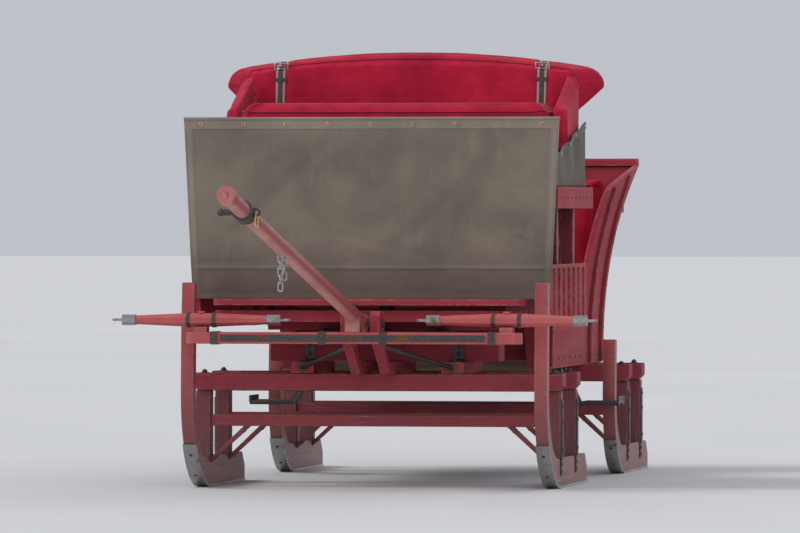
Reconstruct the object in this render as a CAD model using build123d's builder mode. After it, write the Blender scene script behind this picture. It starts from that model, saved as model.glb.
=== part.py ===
from build123d import *
import math
import os

os.makedirs("parts", exist_ok=True)

# The sleigh faces -Y, its left side is +X, and the ground is Z = 0. Sizes are millimetres.
# Places along it are distances back from the line through the two swingletrees.
POLE_REACH = 2650
TAIL_REACH = 3120
LINE_Y = (POLE_REACH - TAIL_REACH) / 2

# Gaps
SEAT = 0.3  # between soft or turning faces and what carries them
RUNNING = 0.05  # shaft in its hole, on the radius

# Bobs, the same build in front and behind
TRACK = 1400
RUNNER_WIDTH = 50
RUNNER_DEPTH = 110
NOSE_DEPTH = 55
NOSE_TIP_ROUND = 18
SHOE = 8
SHOE_OVERHANG = 3
SHOE_WRAP = 58  # degrees of the bend that the steel follows
POST = 60
BEAM_DEEP = 90
BEAM_BASE = 380
BEAM_HIGH = 70
BEAM_OVERHANG = 40
LOWER_BAR = 45
LOWER_BAR_BASE = 240
BRACE = 40
BRACE_THICK = 12
BRACE_REACH = 160
BRACE_FOOT = 95
TIMBER_EDGE = 4

# Front bob
KINGPIN_BACK = 780
FRONT_NOSE = 215
FRONT_BEND = 360
FRONT_CURL = 28
FRONT_NOSE_TOP = 810
FRONT_TAIL = 1300
FRONT_STATIONS = (580, 980)
SLEEPER_X = 300
SLEEPER_WIDE = 90
SLEEPER_HIGH = 45
BOLSTER_LONG = 920
BOLSTER_DEEP = 140
BOLSTER_HIGH = 87
TURNTABLE_RADIUS = 270
TURNTABLE_BAND = 55
TURNTABLE_THICK = 18
TURNTABLE_HUB = 75
KINGPIN_RADIUS = 16
KINGPIN_HEAD = 30
KINGPIN_HEAD_HIGH = 18

# Heights of the chassis
SLEEPER_BASE = BEAM_BASE + BEAM_HIGH
BOLSTER_BASE = SLEEPER_BASE + SLEEPER_HIGH
RING_BASE = BOLSTER_BASE + BOLSTER_HIGH
UPPER_RING_BASE = RING_BASE + TURNTABLE_THICK + SEAT
UPPER_BOLSTER_BASE = UPPER_RING_BASE + TURNTABLE_THICK
SILL_X = 500
SILL_WIDE = 60
SILL_FRONT = 420
SILL_DROP = 1340
SILL_DROP_LONG = 100
SILL_HIGH = 105
SILL_BASE = 640
REAR_SILL_HIGH = 80
CROSS_TOP = 700
CROSS_DEEP = 70
CROSS_HIGH = 45
FRONT_BEAM_HALF = 620
FRONT_BEAM_DEEP = 35
LEDGE_DEEP = 100
LEDGE_THICK = 25
FLOOR = 25

# Pole
POLE_HINGE_BACK = 200
POLE_HINGE_Z = 650
POLE_TIP_Z = 1150
POLE_RADIUS = 29
POLE_ROOT_RADIUS = 35
POLE_PIN_RADIUS = 11
POLE_PIN_HEAD = 20
POLE_PIN_HEAD_THICK = 10
POLE_CAP_RADIUS = 34
POLE_CAP_LONG = 45
POLE_CAP_FACE = 8
SLEEVE_FROM_TIP = 400
SLEEVE_LONG = 75
SLEEVE_WALL = 7
SLEEVE_BAR = 12
SLEEVE_BAR_HALF = 85
LUG_RADIUS = 16
LUG_THICK = 10
LUG_HOLE = 8
RING_RADIUS = 26
RING_WIDE = 9
RING_THICK = 5
CHAINS_FROM_TIP = (1090, 1170)
CHAIN_LINKS = (5, 3)
LINK_INSIDE_LONG = 27
LINK_INSIDE_WIDE = 11
LINK_BAR = 6
LINK_CORNER = 5
FUTCHELL_GAP = 40
FUTCHELL_THICK = 36
FUTCHELL_HEAD = 60
FUTCHELL_HEAD_HIGH = 50
FUTCHELL_RISE = 180
STAY_RADIUS = 9
STAY_BACK = 300
STAY_Z = 555

# Evener and swingletrees
EVENER_BASE = 575
EVENER_HIGH = 45
EVENER_DEEP = 70
EVENER_CORNER = 22
SWINGLETREE_X = 600
SWINGLETREE_LONG = 660
SWINGLETREE_Z = 667
SWINGLETREE_RADIUS = 26
SWINGLETREE_WAIST = 60
SWINGLETREE_END_RADIUS = 17
SWINGLETREE_BOLT = 8
SWINGLETREE_SIDES = 8
BOLT_SPARE = 10
EVENER_OVERHANG = 60
FERRULE_LONG = 50
FERRULE_WALL = 3
EYE_RADIUS = 9
EYE_OUTER = 20
EYE_THICK = 10

# Driver's stand
STAND_HALF = 700
STAND_FRONT = 400
STAND_REAR = 1390
SIDE_BOARD = 14
SIDE_BASE = 640
SIDE_TOP = 865
SIDE_CAP = 15
SIDE_SETBACK = 20
PLANKS = 6
PLANK_GAP = 4
BATTEN_WIDE = 45
BATTEN_THICK = 9
BATTENS = 8
APRON_FRONT = 392
APRON_THICK = 8
APRON_FOOT_HALF = 715
APRON_HEAD_HALF = 750
APRON_TOP = 1460
DASH_POST = 32
DASH_INSET = 20
DASH_X = STAND_HALF - DASH_INSET
DASH_TOP = 1445
DASH_RAIL = 30
DASH_MID = 860
DECK_BASE = 1100
DECK_THICK = 30
DECK_MARGIN = 75
DECK_CHEEK_HIGH = 85
DECK_CHEEK_THICK = 22
DECK_POST = 50
DECK_POST_INSET = 60
DECK_POST_X = STAND_HALF - DECK_POST_INSET
DECK_POST_STATIONS = (900, 1340)
SEAT_BOX_FRONT = 930
SEAT_BOX_HALF = 640
DECK_HALF = SEAT_BOX_HALF + DECK_MARGIN
SEAT_BOX_TOP = 1400
WALL = 18
CUSHION_HIGH = 110
CUSHION_FRONT = 905
CUSHION_REAR = 1330
CUSHION_EDGE = 28
BACKREST_FOOT = 1440
BACKREST_LEAN = 8
BACKREST_THICK = 105
BACKREST_FOOT_HALF = 612
BACKREST_SHOULDER_HALF = 705
EAR_ROUND = 85
BACKREST_SHOULDER = 235
BACKREST_TOP = 297
STRAP_X = 535
STRAP_WIDE = 42
STRAP_THICK = 5
STRAP_HANG = 60
STRAP_FRONT_FOOT = 75
IRON_X = (-400, 0, 400)
IRON_WIDE = 40
IRON_THICK = 8
IRON_FOOT = 1180
IRON_HEAD = 190
ARM_THICK = 45
ARM_FOOT = 1330
ARM_FRONT = 960
ARM_FRONT_TOP = 1500
ARM_REAR_TOP = 1635
APRON_SIDE_INSET = 13
APRON_SIDE_X = DECK_HALF - APRON_SIDE_INSET
APRON_SIDE_THICK = 5
APRON_SIDE_FRONT_TOP = 1275
APRON_SIDE_REAR_TOP = 1450

# Passenger tub
TUB_FRONT = 1440
TUB_FLARE_RISE = 752
TUB_FLARE_OUT = 140
REAR_FLARE_OUT = 112
PANEL = 14
RAIL_DEEP = 36
RAIL_HIGH = 30
TUB_REAR = TAIL_REACH - RAIL_DEEP / 2 - REAR_FLARE_OUT
TUB_SHOULDER = 1180
FRONT_BENCH = 440
REAR_BENCH = 655
FRONT_BENCH_EDGE = TUB_FRONT + FRONT_BENCH
REAR_BENCH_EDGE = TUB_REAR - REAR_BENCH
ENTRANCE_INSET = 20
ENTRANCE_SILL = 640
ENTRANCE_ROUND = 150
ENTRANCE_CORNER = 75
FOOTWELL_UNDER = 160
FOOTWELL_BASE = 360
BENCH_FLOOR = 20
BENCH_TOP = 680
BENCH_BOARD = 20
BENCH_CUSHION_HIGH = 120
CUSHION_OVERHANG = 5
BENCH_BACK_THICK = 85
BENCH_BACK_EDGE = 18
BENCH_BACK_TOP = 1235
SILL_OVERHANG = 50
STEP_LONG = 180
STEP_Z = 300
STEP_INNER = 590
STEP_OUTER = 770
STEP_THICK = 8
STEP_IRON = 30
STEP_LIP = 30

# Rear bob, set out from the tub's rear
REAR_NOSE_AHEAD = 890
REAR_STATIONS_AHEAD = (510, 130)
REAR_TAIL_BEHIND = 110
REAR_NOSE = TUB_REAR - REAR_NOSE_AHEAD
REAR_BEND = 300
REAR_CURL = 12
REAR_NOSE_TOP = 560
REAR_TAIL = TUB_REAR + REAR_TAIL_BEHIND
REAR_STATIONS = [TUB_REAR - ahead for ahead in REAR_STATIONS_AHEAD]


def back(distance):
    """Y of a place measured back from the swingletree line."""
    return LINE_Y + distance


def across(distance):
    """Upright plane that looks forward, with X across and its second axis up."""
    return Plane(origin=(0, back(distance), 0), x_dir=(1, 0, 0), z_dir=(0, -1, 0))


def timber(x, y, z):
    """Add a squared timber between two limits each way; y is measured back from the line."""
    with Locations(((x[0] + x[1]) / 2, back((y[0] + y[1]) / 2), (z[0] + z[1]) / 2)):
        Box(x[1] - x[0], y[1] - y[0], z[1] - z[0])


def both_sides(low, high):
    """The same stretch of X on each side of the sleigh."""
    return ((low, high), (-high, -low))


def save(part, name):
    """Name a piece and write it."""
    part.label = name
    export_step(part, f"parts/{name}.step")


# Runners and shoes

def curl_arc(nose, level, nose_top, curl, inset):
    """Centre, radius and turn of a line that leads a nose up and a little back.

    The line lies inset behind the nose's front.
    """
    rise = nose_top - level
    radius = (curl**2 + rise**2) / (2 * curl)
    turn = math.degrees(math.asin(rise / (radius - inset)))
    return (nose + radius, level), radius - inset, turn


def runner(side, nose, tail, bend, nose_top, curl):
    """A timber runner with its nose bent up, on one side."""
    inner_bend = bend - RUNNER_DEPTH
    foot = back(nose) + bend
    bent_back = back(nose) + NOSE_DEPTH + inner_bend
    level = SHOE + bend
    with BuildPart() as bar:
        with BuildSketch(Plane.YZ.offset(side * TRACK / 2 - RUNNER_WIDTH / 2)) as outline:
            with BuildLine():
                Line((back(tail), SHOE), (foot, SHOE))
                CenterArc((foot, level), bend, 270, -90)
                middle, radius, turn = curl_arc(back(nose), level, nose_top, curl, 0)
                face = CenterArc(middle, radius, 180, -turn)
                middle, radius, turn = curl_arc(back(nose), level, nose_top, curl, NOSE_DEPTH)
                rear = CenterArc(middle, radius, 180, -turn)
                Line(face @ 1, rear @ 1)
                CenterArc((bent_back, level), inner_bend, 180, 90)
                Line((bent_back, SHOE + RUNNER_DEPTH), (back(tail), SHOE + RUNNER_DEPTH))
                Line((back(tail), SHOE + RUNNER_DEPTH), (back(tail), SHOE))
            make_face()
            tip = outline.vertices().group_by(Axis.Y)[-1]
            fillet(tip.sort_by(Axis.X)[-1], radius=NOSE_TIP_ROUND)
            heel = outline.vertices().group_by(Axis.X)[-1]
            chamfer(heel.sort_by(Axis.Y)[-1], length=RUNNER_DEPTH / 2)
        extrude(amount=RUNNER_WIDTH)
    return bar.part


def shoe(side, nose, tail, bend):
    """A steel strip under one runner, which ends part of the way up its bend."""
    width = RUNNER_WIDTH + 2 * SHOE_OVERHANG
    foot = back(nose) + bend
    level = SHOE + bend
    with BuildPart() as strip:
        with BuildSketch(Plane.YZ.offset(side * TRACK / 2 - width / 2)):
            with BuildLine():
                Line((back(tail), 0), (foot, 0))
                outside = CenterArc((foot, level), bend + SHOE, 270, -SHOE_WRAP)
                inside = CenterArc((foot, level), bend, 270, -SHOE_WRAP)
                Line(outside @ 1, inside @ 1)
                Line((foot, SHOE), (back(tail), SHOE))
                Line((back(tail), SHOE), (back(tail), 0))
            make_face()
        extrude(amount=width)
    return strip.part


# Columns: name, nose, tail, bend, nose top, curl, places of the two cross frames
BOBS = (
    ("front", FRONT_NOSE, FRONT_TAIL, FRONT_BEND, FRONT_NOSE_TOP, FRONT_CURL, FRONT_STATIONS),
    ("rear", REAR_NOSE, REAR_TAIL, REAR_BEND, REAR_NOSE_TOP, REAR_CURL, REAR_STATIONS),
)
for bob, nose, tail, bend, nose_top, curl, stations in BOBS:
    with BuildPart() as runners:
        add(runner(1, nose, tail, bend, nose_top, curl))
        add(runner(-1, nose, tail, bend, nose_top, curl))
    save(runners.part, f"{bob}_runners")
    with BuildPart() as shoes:
        add(shoe(1, nose, tail, bend))
        add(shoe(-1, nose, tail, bend))
    save(shoes.part, f"{bob}_shoes")

    runner_top = SHOE + RUNNER_DEPTH
    with BuildPart() as posts:
        for station in stations:
            for side in (1, -1):
                middle = side * TRACK / 2
                timber(
                    (middle - POST / 2, middle + POST / 2),
                    (station - POST / 2, station + POST / 2),
                    (runner_top, BEAM_BASE),
                )
        chamfer(posts.edges().filter_by(Axis.Z), length=TIMBER_EDGE)
    save(posts.part, f"{bob}_posts")

    with BuildPart() as top_beams:
        for station in stations:
            timber(
                (-TRACK / 2 - BEAM_OVERHANG, TRACK / 2 + BEAM_OVERHANG),
                (station - BEAM_DEEP / 2, station + BEAM_DEEP / 2),
                (BEAM_BASE, BEAM_BASE + BEAM_HIGH),
            )
        chamfer(top_beams.edges().filter_by(Axis.X), length=TIMBER_EDGE)
        ends = top_beams.faces().filter_by(Axis.X).edges().filter_by(Axis.Y)
        chamfer(ends.group_by(Axis.Z)[0], length=BEAM_OVERHANG / 2)
    save(top_beams.part, f"{bob}_top_beams")

    bar_half = TRACK / 2 - POST / 2
    brace_end = TRACK / 2 - RUNNER_WIDTH / 2
    brace_start = brace_end - BRACE_REACH
    brace_rise = BRACE_THICK * math.sqrt(2)
    with BuildPart() as lower_bars:
        for station in stations:
            timber(
                (-bar_half, bar_half),
                (station - LOWER_BAR / 2, station + LOWER_BAR / 2),
                (LOWER_BAR_BASE, LOWER_BAR_BASE + LOWER_BAR),
            )
            for side in (1, -1):
                with BuildSketch(across(station + BRACE / 2)):
                    with BuildLine():
                        Polyline(
                            (side * brace_start, LOWER_BAR_BASE + BRACE_THICK),
                            (side * brace_start, LOWER_BAR_BASE),
                            (side * brace_end, BRACE_FOOT),
                            (side * brace_end, BRACE_FOOT + brace_rise),
                            (side * (brace_start + BRACE_THICK), LOWER_BAR_BASE + BRACE_THICK),
                            close=True,
                        )
                    make_face()
                extrude(amount=BRACE)
    save(lower_bars.part, f"{bob}_lower_bars")


# Front bob's carriage

with BuildPart() as front_sleepers:
    for side in (1, -1):
        middle = side * SLEEPER_X
        timber(
            (middle - SLEEPER_WIDE / 2, middle + SLEEPER_WIDE / 2),
            (FRONT_STATIONS[0] - BEAM_DEEP / 2, FRONT_STATIONS[1] + BEAM_DEEP / 2),
            (SLEEPER_BASE, BOLSTER_BASE),
        )
save(front_sleepers.part, "front_sleepers")

with BuildPart() as front_bolster:
    timber(
        (-BOLSTER_LONG / 2, BOLSTER_LONG / 2),
        (KINGPIN_BACK - BOLSTER_DEEP / 2, KINGPIN_BACK + BOLSTER_DEEP / 2),
        (BOLSTER_BASE, RING_BASE),
    )
    with Locations((0, back(KINGPIN_BACK), RING_BASE)):
        Hole(KINGPIN_RADIUS + RUNNING)
save(front_bolster.part, "front_bolster")


def turntable(base, hole):
    """A steel ring with a hub and four spokes, flat on a bolster."""
    ring_middle = TURNTABLE_RADIUS - TURNTABLE_BAND / 2
    with BuildPart() as ring:
        with BuildSketch(Plane.XY.offset(base)):
            with Locations((0, back(KINGPIN_BACK))):
                Circle(TURNTABLE_RADIUS)
                Circle(TURNTABLE_RADIUS - TURNTABLE_BAND, mode=Mode.SUBTRACT)
                RegularPolygon(TURNTABLE_HUB, 8)
                Rectangle(2 * ring_middle, TURNTABLE_BAND)
                Rectangle(TURNTABLE_BAND, 2 * ring_middle)
                Circle(hole, mode=Mode.SUBTRACT)
        extrude(amount=TURNTABLE_THICK)
    return ring.part


save(turntable(RING_BASE, KINGPIN_RADIUS + RUNNING), "turntable_lower")
save(turntable(UPPER_RING_BASE, KINGPIN_RADIUS + SEAT), "turntable_upper")

with BuildPart() as kingpin:
    with BuildSketch(Plane.XY.offset(BOLSTER_BASE - SEAT - KINGPIN_HEAD_HIGH)):
        with Locations((0, back(KINGPIN_BACK))):
            RegularPolygon(KINGPIN_HEAD, 6)
    extrude(amount=KINGPIN_HEAD_HIGH)
    with BuildSketch(Plane.XY.offset(BOLSTER_BASE - SEAT)):
        with Locations((0, back(KINGPIN_BACK))):
            Circle(KINGPIN_RADIUS)
    extrude(amount=CROSS_TOP - BOLSTER_BASE + SEAT)
    with BuildSketch(Plane.XY.offset(CROSS_TOP)):
        with Locations((0, back(KINGPIN_BACK))):
            RegularPolygon(KINGPIN_HEAD, 6)
    extrude(amount=KINGPIN_HEAD_HIGH)
save(kingpin.part, "kingpin")

# Futchells: two timbers that rise in front of the bob and hold the pole's root between them.
FUTCHELL_TAIL = FRONT_STATIONS[1] + BEAM_DEEP / 2
FUTCHELL_KNEE = POLE_HINGE_BACK + FUTCHELL_RISE
FUTCHELL_CHIN = POLE_HINGE_Z - FUTCHELL_HEAD_HIGH
# Columns: distance back, height
FUTCHELL_OUTLINE = (
    (FUTCHELL_TAIL, SLEEPER_BASE),
    (FUTCHELL_KNEE, SLEEPER_BASE),
    (POLE_HINGE_BACK - FUTCHELL_HEAD, FUTCHELL_CHIN),
    (POLE_HINGE_BACK - FUTCHELL_HEAD, POLE_HINGE_Z + FUTCHELL_HEAD_HIGH),
    (POLE_HINGE_BACK + FUTCHELL_HEAD, POLE_HINGE_Z + FUTCHELL_HEAD_HIGH),
    (POLE_HINGE_BACK + FUTCHELL_HEAD, FUTCHELL_CHIN),
    (FUTCHELL_KNEE, BOLSTER_BASE),
    (FUTCHELL_TAIL, BOLSTER_BASE),
)
with BuildPart() as futchells:
    for inner, outer in both_sides(FUTCHELL_GAP, FUTCHELL_GAP + FUTCHELL_THICK):
        with BuildSketch(Plane.YZ.offset(inner)) as outline:
            with BuildLine():
                Polyline([(back(y), z) for y, z in FUTCHELL_OUTLINE], close=True)
            make_face()
            top_corners = outline.vertices().group_by(Axis.Y)[-1]
            chamfer(top_corners, length=FUTCHELL_HEAD_HIGH / 3)
        extrude(amount=outer - inner)
    pin_axis = Plane(
        origin=(0, back(POLE_HINGE_BACK), POLE_HINGE_Z), x_dir=(0, 1, 0), z_dir=(1, 0, 0)
    )
    with BuildSketch(pin_axis):
        Circle(POLE_PIN_RADIUS)
    extrude(amount=2 * FUTCHELL_GAP + 2 * FUTCHELL_THICK, both=True, mode=Mode.SUBTRACT)
save(futchells.part, "futchells")

with BuildPart() as pole_pin:
    pin_half = FUTCHELL_GAP + FUTCHELL_THICK
    with BuildSketch(pin_axis):
        Circle(POLE_PIN_RADIUS)
    extrude(amount=pin_half, both=True)
    for side in (1, -1):
        with BuildSketch(pin_axis.offset(side * pin_half)):
            RegularPolygon(POLE_PIN_HEAD, 6)
        extrude(amount=side * POLE_PIN_HEAD_THICK)
save(pole_pin.part, "pole_pin")

# Two round stays spread from the futchells to the sleepers.
STAY_START = (FUTCHELL_GAP + FUTCHELL_THICK, back(STAY_BACK), STAY_Z)
STAY_END = (
    SLEEPER_X,
    back(FRONT_STATIONS[0] - BEAM_DEEP / 2),
    (SLEEPER_BASE + BOLSTER_BASE) / 2,
)
stay_line = Vector(*STAY_END) - Vector(*STAY_START)
stay_spare = stay_line.normalized() * 4 * STAY_RADIUS
with BuildPart() as futchell_stay:
    with BuildSketch(Plane(origin=Vector(*STAY_START) - stay_spare, z_dir=stay_line)):
        Circle(STAY_RADIUS)
    extrude(amount=stay_line.length + 2 * stay_spare.length)
    split(bisect_by=Plane.YZ.offset(FUTCHELL_GAP + FUTCHELL_THICK), keep=Keep.TOP)
    split(bisect_by=Plane.XZ.offset(-STAY_END[1]), keep=Keep.TOP)
with BuildPart() as futchell_stays:
    add(futchell_stay.part)
    mirror(futchell_stay.part, about=Plane.YZ)
save(futchell_stays.part, "futchell_stays")

# Pole, in a frame that starts at its hinge with Z along the pole and Y up from it.
POLE_TILT = math.atan2(POLE_TIP_Z - POLE_HINGE_Z, POLE_REACH + POLE_HINGE_BACK)
cap_lean = POLE_CAP_RADIUS * math.sin(POLE_TILT)
POLE_LONG = (POLE_REACH + POLE_HINGE_BACK - cap_lean) / math.cos(POLE_TILT)
pole_frame = Plane(
    origin=(0, back(POLE_HINGE_BACK), POLE_HINGE_Z),
    x_dir=(-1, 0, 0),
    z_dir=(0, -math.cos(POLE_TILT), math.sin(POLE_TILT)),
)
pole_top = POLE_HINGE_Z + POLE_HINGE_BACK * math.tan(POLE_TILT) + POLE_RADIUS / math.cos(POLE_TILT)
EVENER_TOP = EVENER_BASE + EVENER_HIGH
with BuildPart() as pole_shaft:
    with BuildSketch(pole_frame.offset(-POLE_ROOT_RADIUS)):
        Circle(POLE_ROOT_RADIUS)
    extrude(amount=2 * POLE_ROOT_RADIUS)
    with BuildSketch(pole_frame):
        Circle(POLE_RADIUS)
    extrude(amount=POLE_LONG - POLE_CAP_FACE)
    with BuildSketch(Plane.XY.offset(EVENER_TOP + SEAT)):
        with Locations((0, back(0))):
            Rectangle(2 * POLE_RADIUS, EVENER_DEEP)
    extrude(amount=POLE_HINGE_Z + POLE_HINGE_BACK * math.tan(POLE_TILT) - EVENER_TOP)
    with BuildSketch(pin_axis):
        Circle(POLE_PIN_RADIUS + RUNNING)
    extrude(amount=2 * POLE_ROOT_RADIUS, both=True, mode=Mode.SUBTRACT)
    with BuildSketch(Plane.XY.offset(EVENER_BASE)):
        with Locations((0, back(0))):
            Circle(SWINGLETREE_BOLT + SEAT)
    extrude(amount=pole_top + POLE_RADIUS - EVENER_BASE, mode=Mode.SUBTRACT)
save(pole_shaft.part, "pole_shaft")

with BuildPart() as pole_cap:
    with BuildSketch(pole_frame.offset(POLE_LONG - POLE_CAP_LONG)):
        Circle(POLE_CAP_RADIUS)
    extrude(amount=POLE_CAP_LONG)
    with BuildSketch(pole_frame.offset(POLE_LONG - POLE_CAP_LONG)):
        Circle(POLE_RADIUS + SEAT / 2)
    extrude(amount=POLE_CAP_LONG - POLE_CAP_FACE, mode=Mode.SUBTRACT)
save(pole_cap.part, "pole_cap")

# A sleeve on the pole has a cross bar, and a lug for a flat ring.
sleeve_start = POLE_LONG - SLEEVE_FROM_TIP
sleeve_middle = sleeve_start + SLEEVE_LONG / 2
LUG_X = POLE_RADIUS + SLEEVE_WALL + LUG_HOLE
sleeve_cross = Plane(
    origin=pole_frame.from_local_coords((0, 0, sleeve_middle)),
    x_dir=(0, 1, 0),
    z_dir=(1, 0, 0),
)
ring_inner = RING_RADIUS - RING_WIDE / 2
ring_sag = ring_inner - math.sqrt(ring_inner**2 - (LUG_THICK / 2) ** 2)
lug_depth = math.sqrt(LUG_HOLE**2 - (RING_THICK / 2) ** 2)
ring_drop = lug_depth - SEAT - ring_sag + ring_inner
lug_centre = sleeve_cross.origin + Vector(LUG_X, 0, 0)
with BuildPart() as pole_irons:
    with BuildSketch(pole_frame.offset(sleeve_start)):
        Circle(POLE_RADIUS + SLEEVE_WALL)
    extrude(amount=SLEEVE_LONG)
    with BuildSketch(sleeve_cross):
        RegularPolygon(SLEEVE_BAR, 8)
    extrude(amount=-SLEEVE_BAR_HALF)
    with BuildSketch(Plane(origin=lug_centre, x_dir=(1, 0, 0), z_dir=(0, -1, 0))):
        Circle(LUG_RADIUS)
        with Locations((-LUG_X / 2, 0)):
            Rectangle(LUG_X, 2 * LUG_RADIUS)
        Circle(LUG_HOLE, mode=Mode.SUBTRACT)
    extrude(amount=LUG_THICK / 2, both=True)
    with BuildSketch(pole_frame):
        Circle(POLE_RADIUS + SEAT / 2)
    extrude(amount=POLE_LONG - POLE_CAP_LONG, mode=Mode.SUBTRACT)
save(pole_irons.part, "pole_irons")

with BuildPart() as pole_ring:
    with BuildSketch(Plane(origin=lug_centre - Vector(0, 0, ring_drop), z_dir=(1, 0, 0))):
        Circle(RING_RADIUS + RING_WIDE / 2)
        Circle(ring_inner, mode=Mode.SUBTRACT)
    extrude(amount=RING_THICK / 2, both=True)
save(pole_ring.part, "pole_ring")

# Two short chains hang under the pole, each from a staple.
LINK_PITCH = LINK_INSIDE_LONG - SEAT
with BuildPart() as pole_chains:
    for from_tip, links in zip(CHAINS_FROM_TIP, CHAIN_LINKS):
        hang = pole_frame.from_local_coords((0, 0, POLE_LONG - from_tip))
        hang_z = hang.Z - POLE_RADIUS / math.cos(POLE_TILT) - LINK_INSIDE_LONG / 2
        for link in range(links):
            turned = (1, 0, 0) if link % 2 else (0, 1, 0)
            centre = (hang.X, hang.Y, hang_z - link * LINK_PITCH)
            with BuildSketch(Plane(origin=centre, x_dir=(0, 0, 1), z_dir=turned)) as link_outline:
                Rectangle(LINK_INSIDE_LONG + 2 * LINK_BAR, LINK_INSIDE_WIDE + 2 * LINK_BAR)
                chamfer(link_outline.vertices(), length=LINK_CORNER)
                Rectangle(LINK_INSIDE_LONG, LINK_INSIDE_WIDE, mode=Mode.SUBTRACT)
            extrude(amount=LINK_BAR / 2, both=True)
    with BuildSketch(pole_frame):
        Circle(POLE_RADIUS + SEAT / 2)
    extrude(amount=POLE_LONG - POLE_CAP_LONG, mode=Mode.SUBTRACT)
save(pole_chains.part, "pole_chains")

# Evener

evener_half = SWINGLETREE_X + EVENER_OVERHANG
with BuildPart() as evener_bar:
    with BuildSketch(Plane.XY.offset(EVENER_BASE)) as evener_outline:
        with Locations((0, back(0))):
            Rectangle(2 * evener_half, EVENER_DEEP)
        chamfer(evener_outline.vertices(), length=EVENER_CORNER)
    extrude(amount=EVENER_HIGH)
    for side in (1, -1):
        with BuildSketch(Plane.XY.offset(EVENER_TOP)):
            with Locations((side * SWINGLETREE_X, back(0))):
                Rectangle(2 * SWINGLETREE_RADIUS, 2 * SWINGLETREE_RADIUS)
        extrude(amount=SWINGLETREE_Z - SWINGLETREE_RADIUS - EVENER_TOP - SEAT)
        with BuildSketch(Plane.XY.offset(EVENER_TOP)):
            with Locations((side * SWINGLETREE_X, back(0))):
                Circle(SWINGLETREE_BOLT)
        extrude(amount=SWINGLETREE_Z + SWINGLETREE_RADIUS + SEAT - EVENER_TOP)
        with BuildSketch(Plane.XY.offset(SWINGLETREE_Z + SWINGLETREE_RADIUS + SEAT)):
            with Locations((side * SWINGLETREE_X, back(0))):
                RegularPolygon(2 * SWINGLETREE_BOLT, 6)
        extrude(amount=SWINGLETREE_BOLT)
    with BuildSketch(Plane.XY.offset(EVENER_BASE)):
        with Locations((0, back(0))):
            Circle(SWINGLETREE_BOLT + RUNNING)
    extrude(amount=EVENER_HIGH, mode=Mode.SUBTRACT)
save(evener_bar.part, "evener_bar")

with BuildPart() as evener_bolt:
    with BuildSketch(Plane.XY.offset(EVENER_BASE - SEAT - SWINGLETREE_BOLT)):
        with Locations((0, back(0))):
            RegularPolygon(2 * SWINGLETREE_BOLT, 6)
    extrude(amount=SWINGLETREE_BOLT)
    with BuildSketch(Plane.XY.offset(EVENER_BASE - SEAT)):
        with Locations((0, back(0))):
            Circle(SWINGLETREE_BOLT)
    extrude(amount=pole_top + BOLT_SPARE + SEAT - EVENER_BASE)
    with BuildSketch(Plane.XY.offset(pole_top + BOLT_SPARE)):
        with Locations((0, back(0))):
            RegularPolygon(2 * SWINGLETREE_BOLT, 6)
    extrude(amount=SWINGLETREE_BOLT)
save(evener_bolt.part, "evener_bolt")

# Swingletrees: eight-sided bars, thick at the pivot, with an iron eye on each end.
half_side = 180 / SWINGLETREE_SIDES


def swingletree_bar(side):
    """A wooden bar planed to eight sides, tapered both ways from its pivot."""
    half = SWINGLETREE_LONG / 2 - EYE_OUTER
    slim_long = half - FERRULE_LONG - SWINGLETREE_WAIST
    taper = math.degrees(math.atan((SWINGLETREE_RADIUS - SWINGLETREE_END_RADIUS) / slim_long))
    # Columns: start from the pivot, half thickness, length, taper
    stretches = (
        (0, SWINGLETREE_RADIUS, SWINGLETREE_WAIST, 0),
        (SWINGLETREE_WAIST, SWINGLETREE_RADIUS, slim_long, taper),
        (half - FERRULE_LONG, SWINGLETREE_END_RADIUS, FERRULE_LONG, 0),
    )
    pivot = Vector(side * SWINGLETREE_X, back(0), SWINGLETREE_Z)
    with BuildPart() as bar:
        for end in (1, -1):
            for start, thickness, long, narrowing in stretches:
                place = pivot + Vector(end * start, 0, 0)
                with BuildSketch(Plane(origin=place, x_dir=(0, 1, 0), z_dir=(end, 0, 0))):
                    RegularPolygon(thickness, SWINGLETREE_SIDES, major_radius=False, rotation=half_side)
                extrude(amount=long, taper=narrowing)
        with Locations(pivot):
            Cylinder(SWINGLETREE_BOLT + RUNNING, 2 * SWINGLETREE_RADIUS, mode=Mode.SUBTRACT)
    return bar.part


def swingletree_irons(side):
    """Two iron end sockets, each with a flat eye that takes a trace."""
    half = SWINGLETREE_LONG / 2 - EYE_OUTER
    bore = SWINGLETREE_END_RADIUS + SEAT
    with BuildPart() as irons:
        for end in (1, -1):
            tip = side * SWINGLETREE_X + end * half
            socket = Plane(origin=(tip, back(0), SWINGLETREE_Z), x_dir=(0, 1, 0), z_dir=(-end, 0, 0))
            with BuildSketch(socket.offset(-FERRULE_WALL)):
                RegularPolygon(
                    bore + FERRULE_WALL, SWINGLETREE_SIDES, major_radius=False, rotation=half_side
                )
            extrude(amount=FERRULE_WALL + FERRULE_LONG - SEAT)
            with BuildSketch(Plane.XY.offset(SWINGLETREE_Z - EYE_THICK / 2)):
                with Locations((tip + end * (FERRULE_WALL + EYE_OUTER) / 2, back(0))):
                    Rectangle(FERRULE_WALL + EYE_OUTER, 2 * EYE_OUTER)
                with Locations((tip + end * (FERRULE_WALL + EYE_OUTER), back(0))):
                    Circle(EYE_OUTER)
                    Circle(EYE_RADIUS, mode=Mode.SUBTRACT)
            extrude(amount=EYE_THICK)
            with BuildSketch(socket):
                RegularPolygon(bore, SWINGLETREE_SIDES, major_radius=False, rotation=half_side)
            extrude(amount=FERRULE_LONG, mode=Mode.SUBTRACT)
    return irons.part


for side, side_name in ((1, "left"), (-1, "right")):
    save(swingletree_bar(side), f"swingletree_{side_name}")
    save(swingletree_irons(side), f"swingletree_irons_{side_name}")

# Chassis

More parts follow.
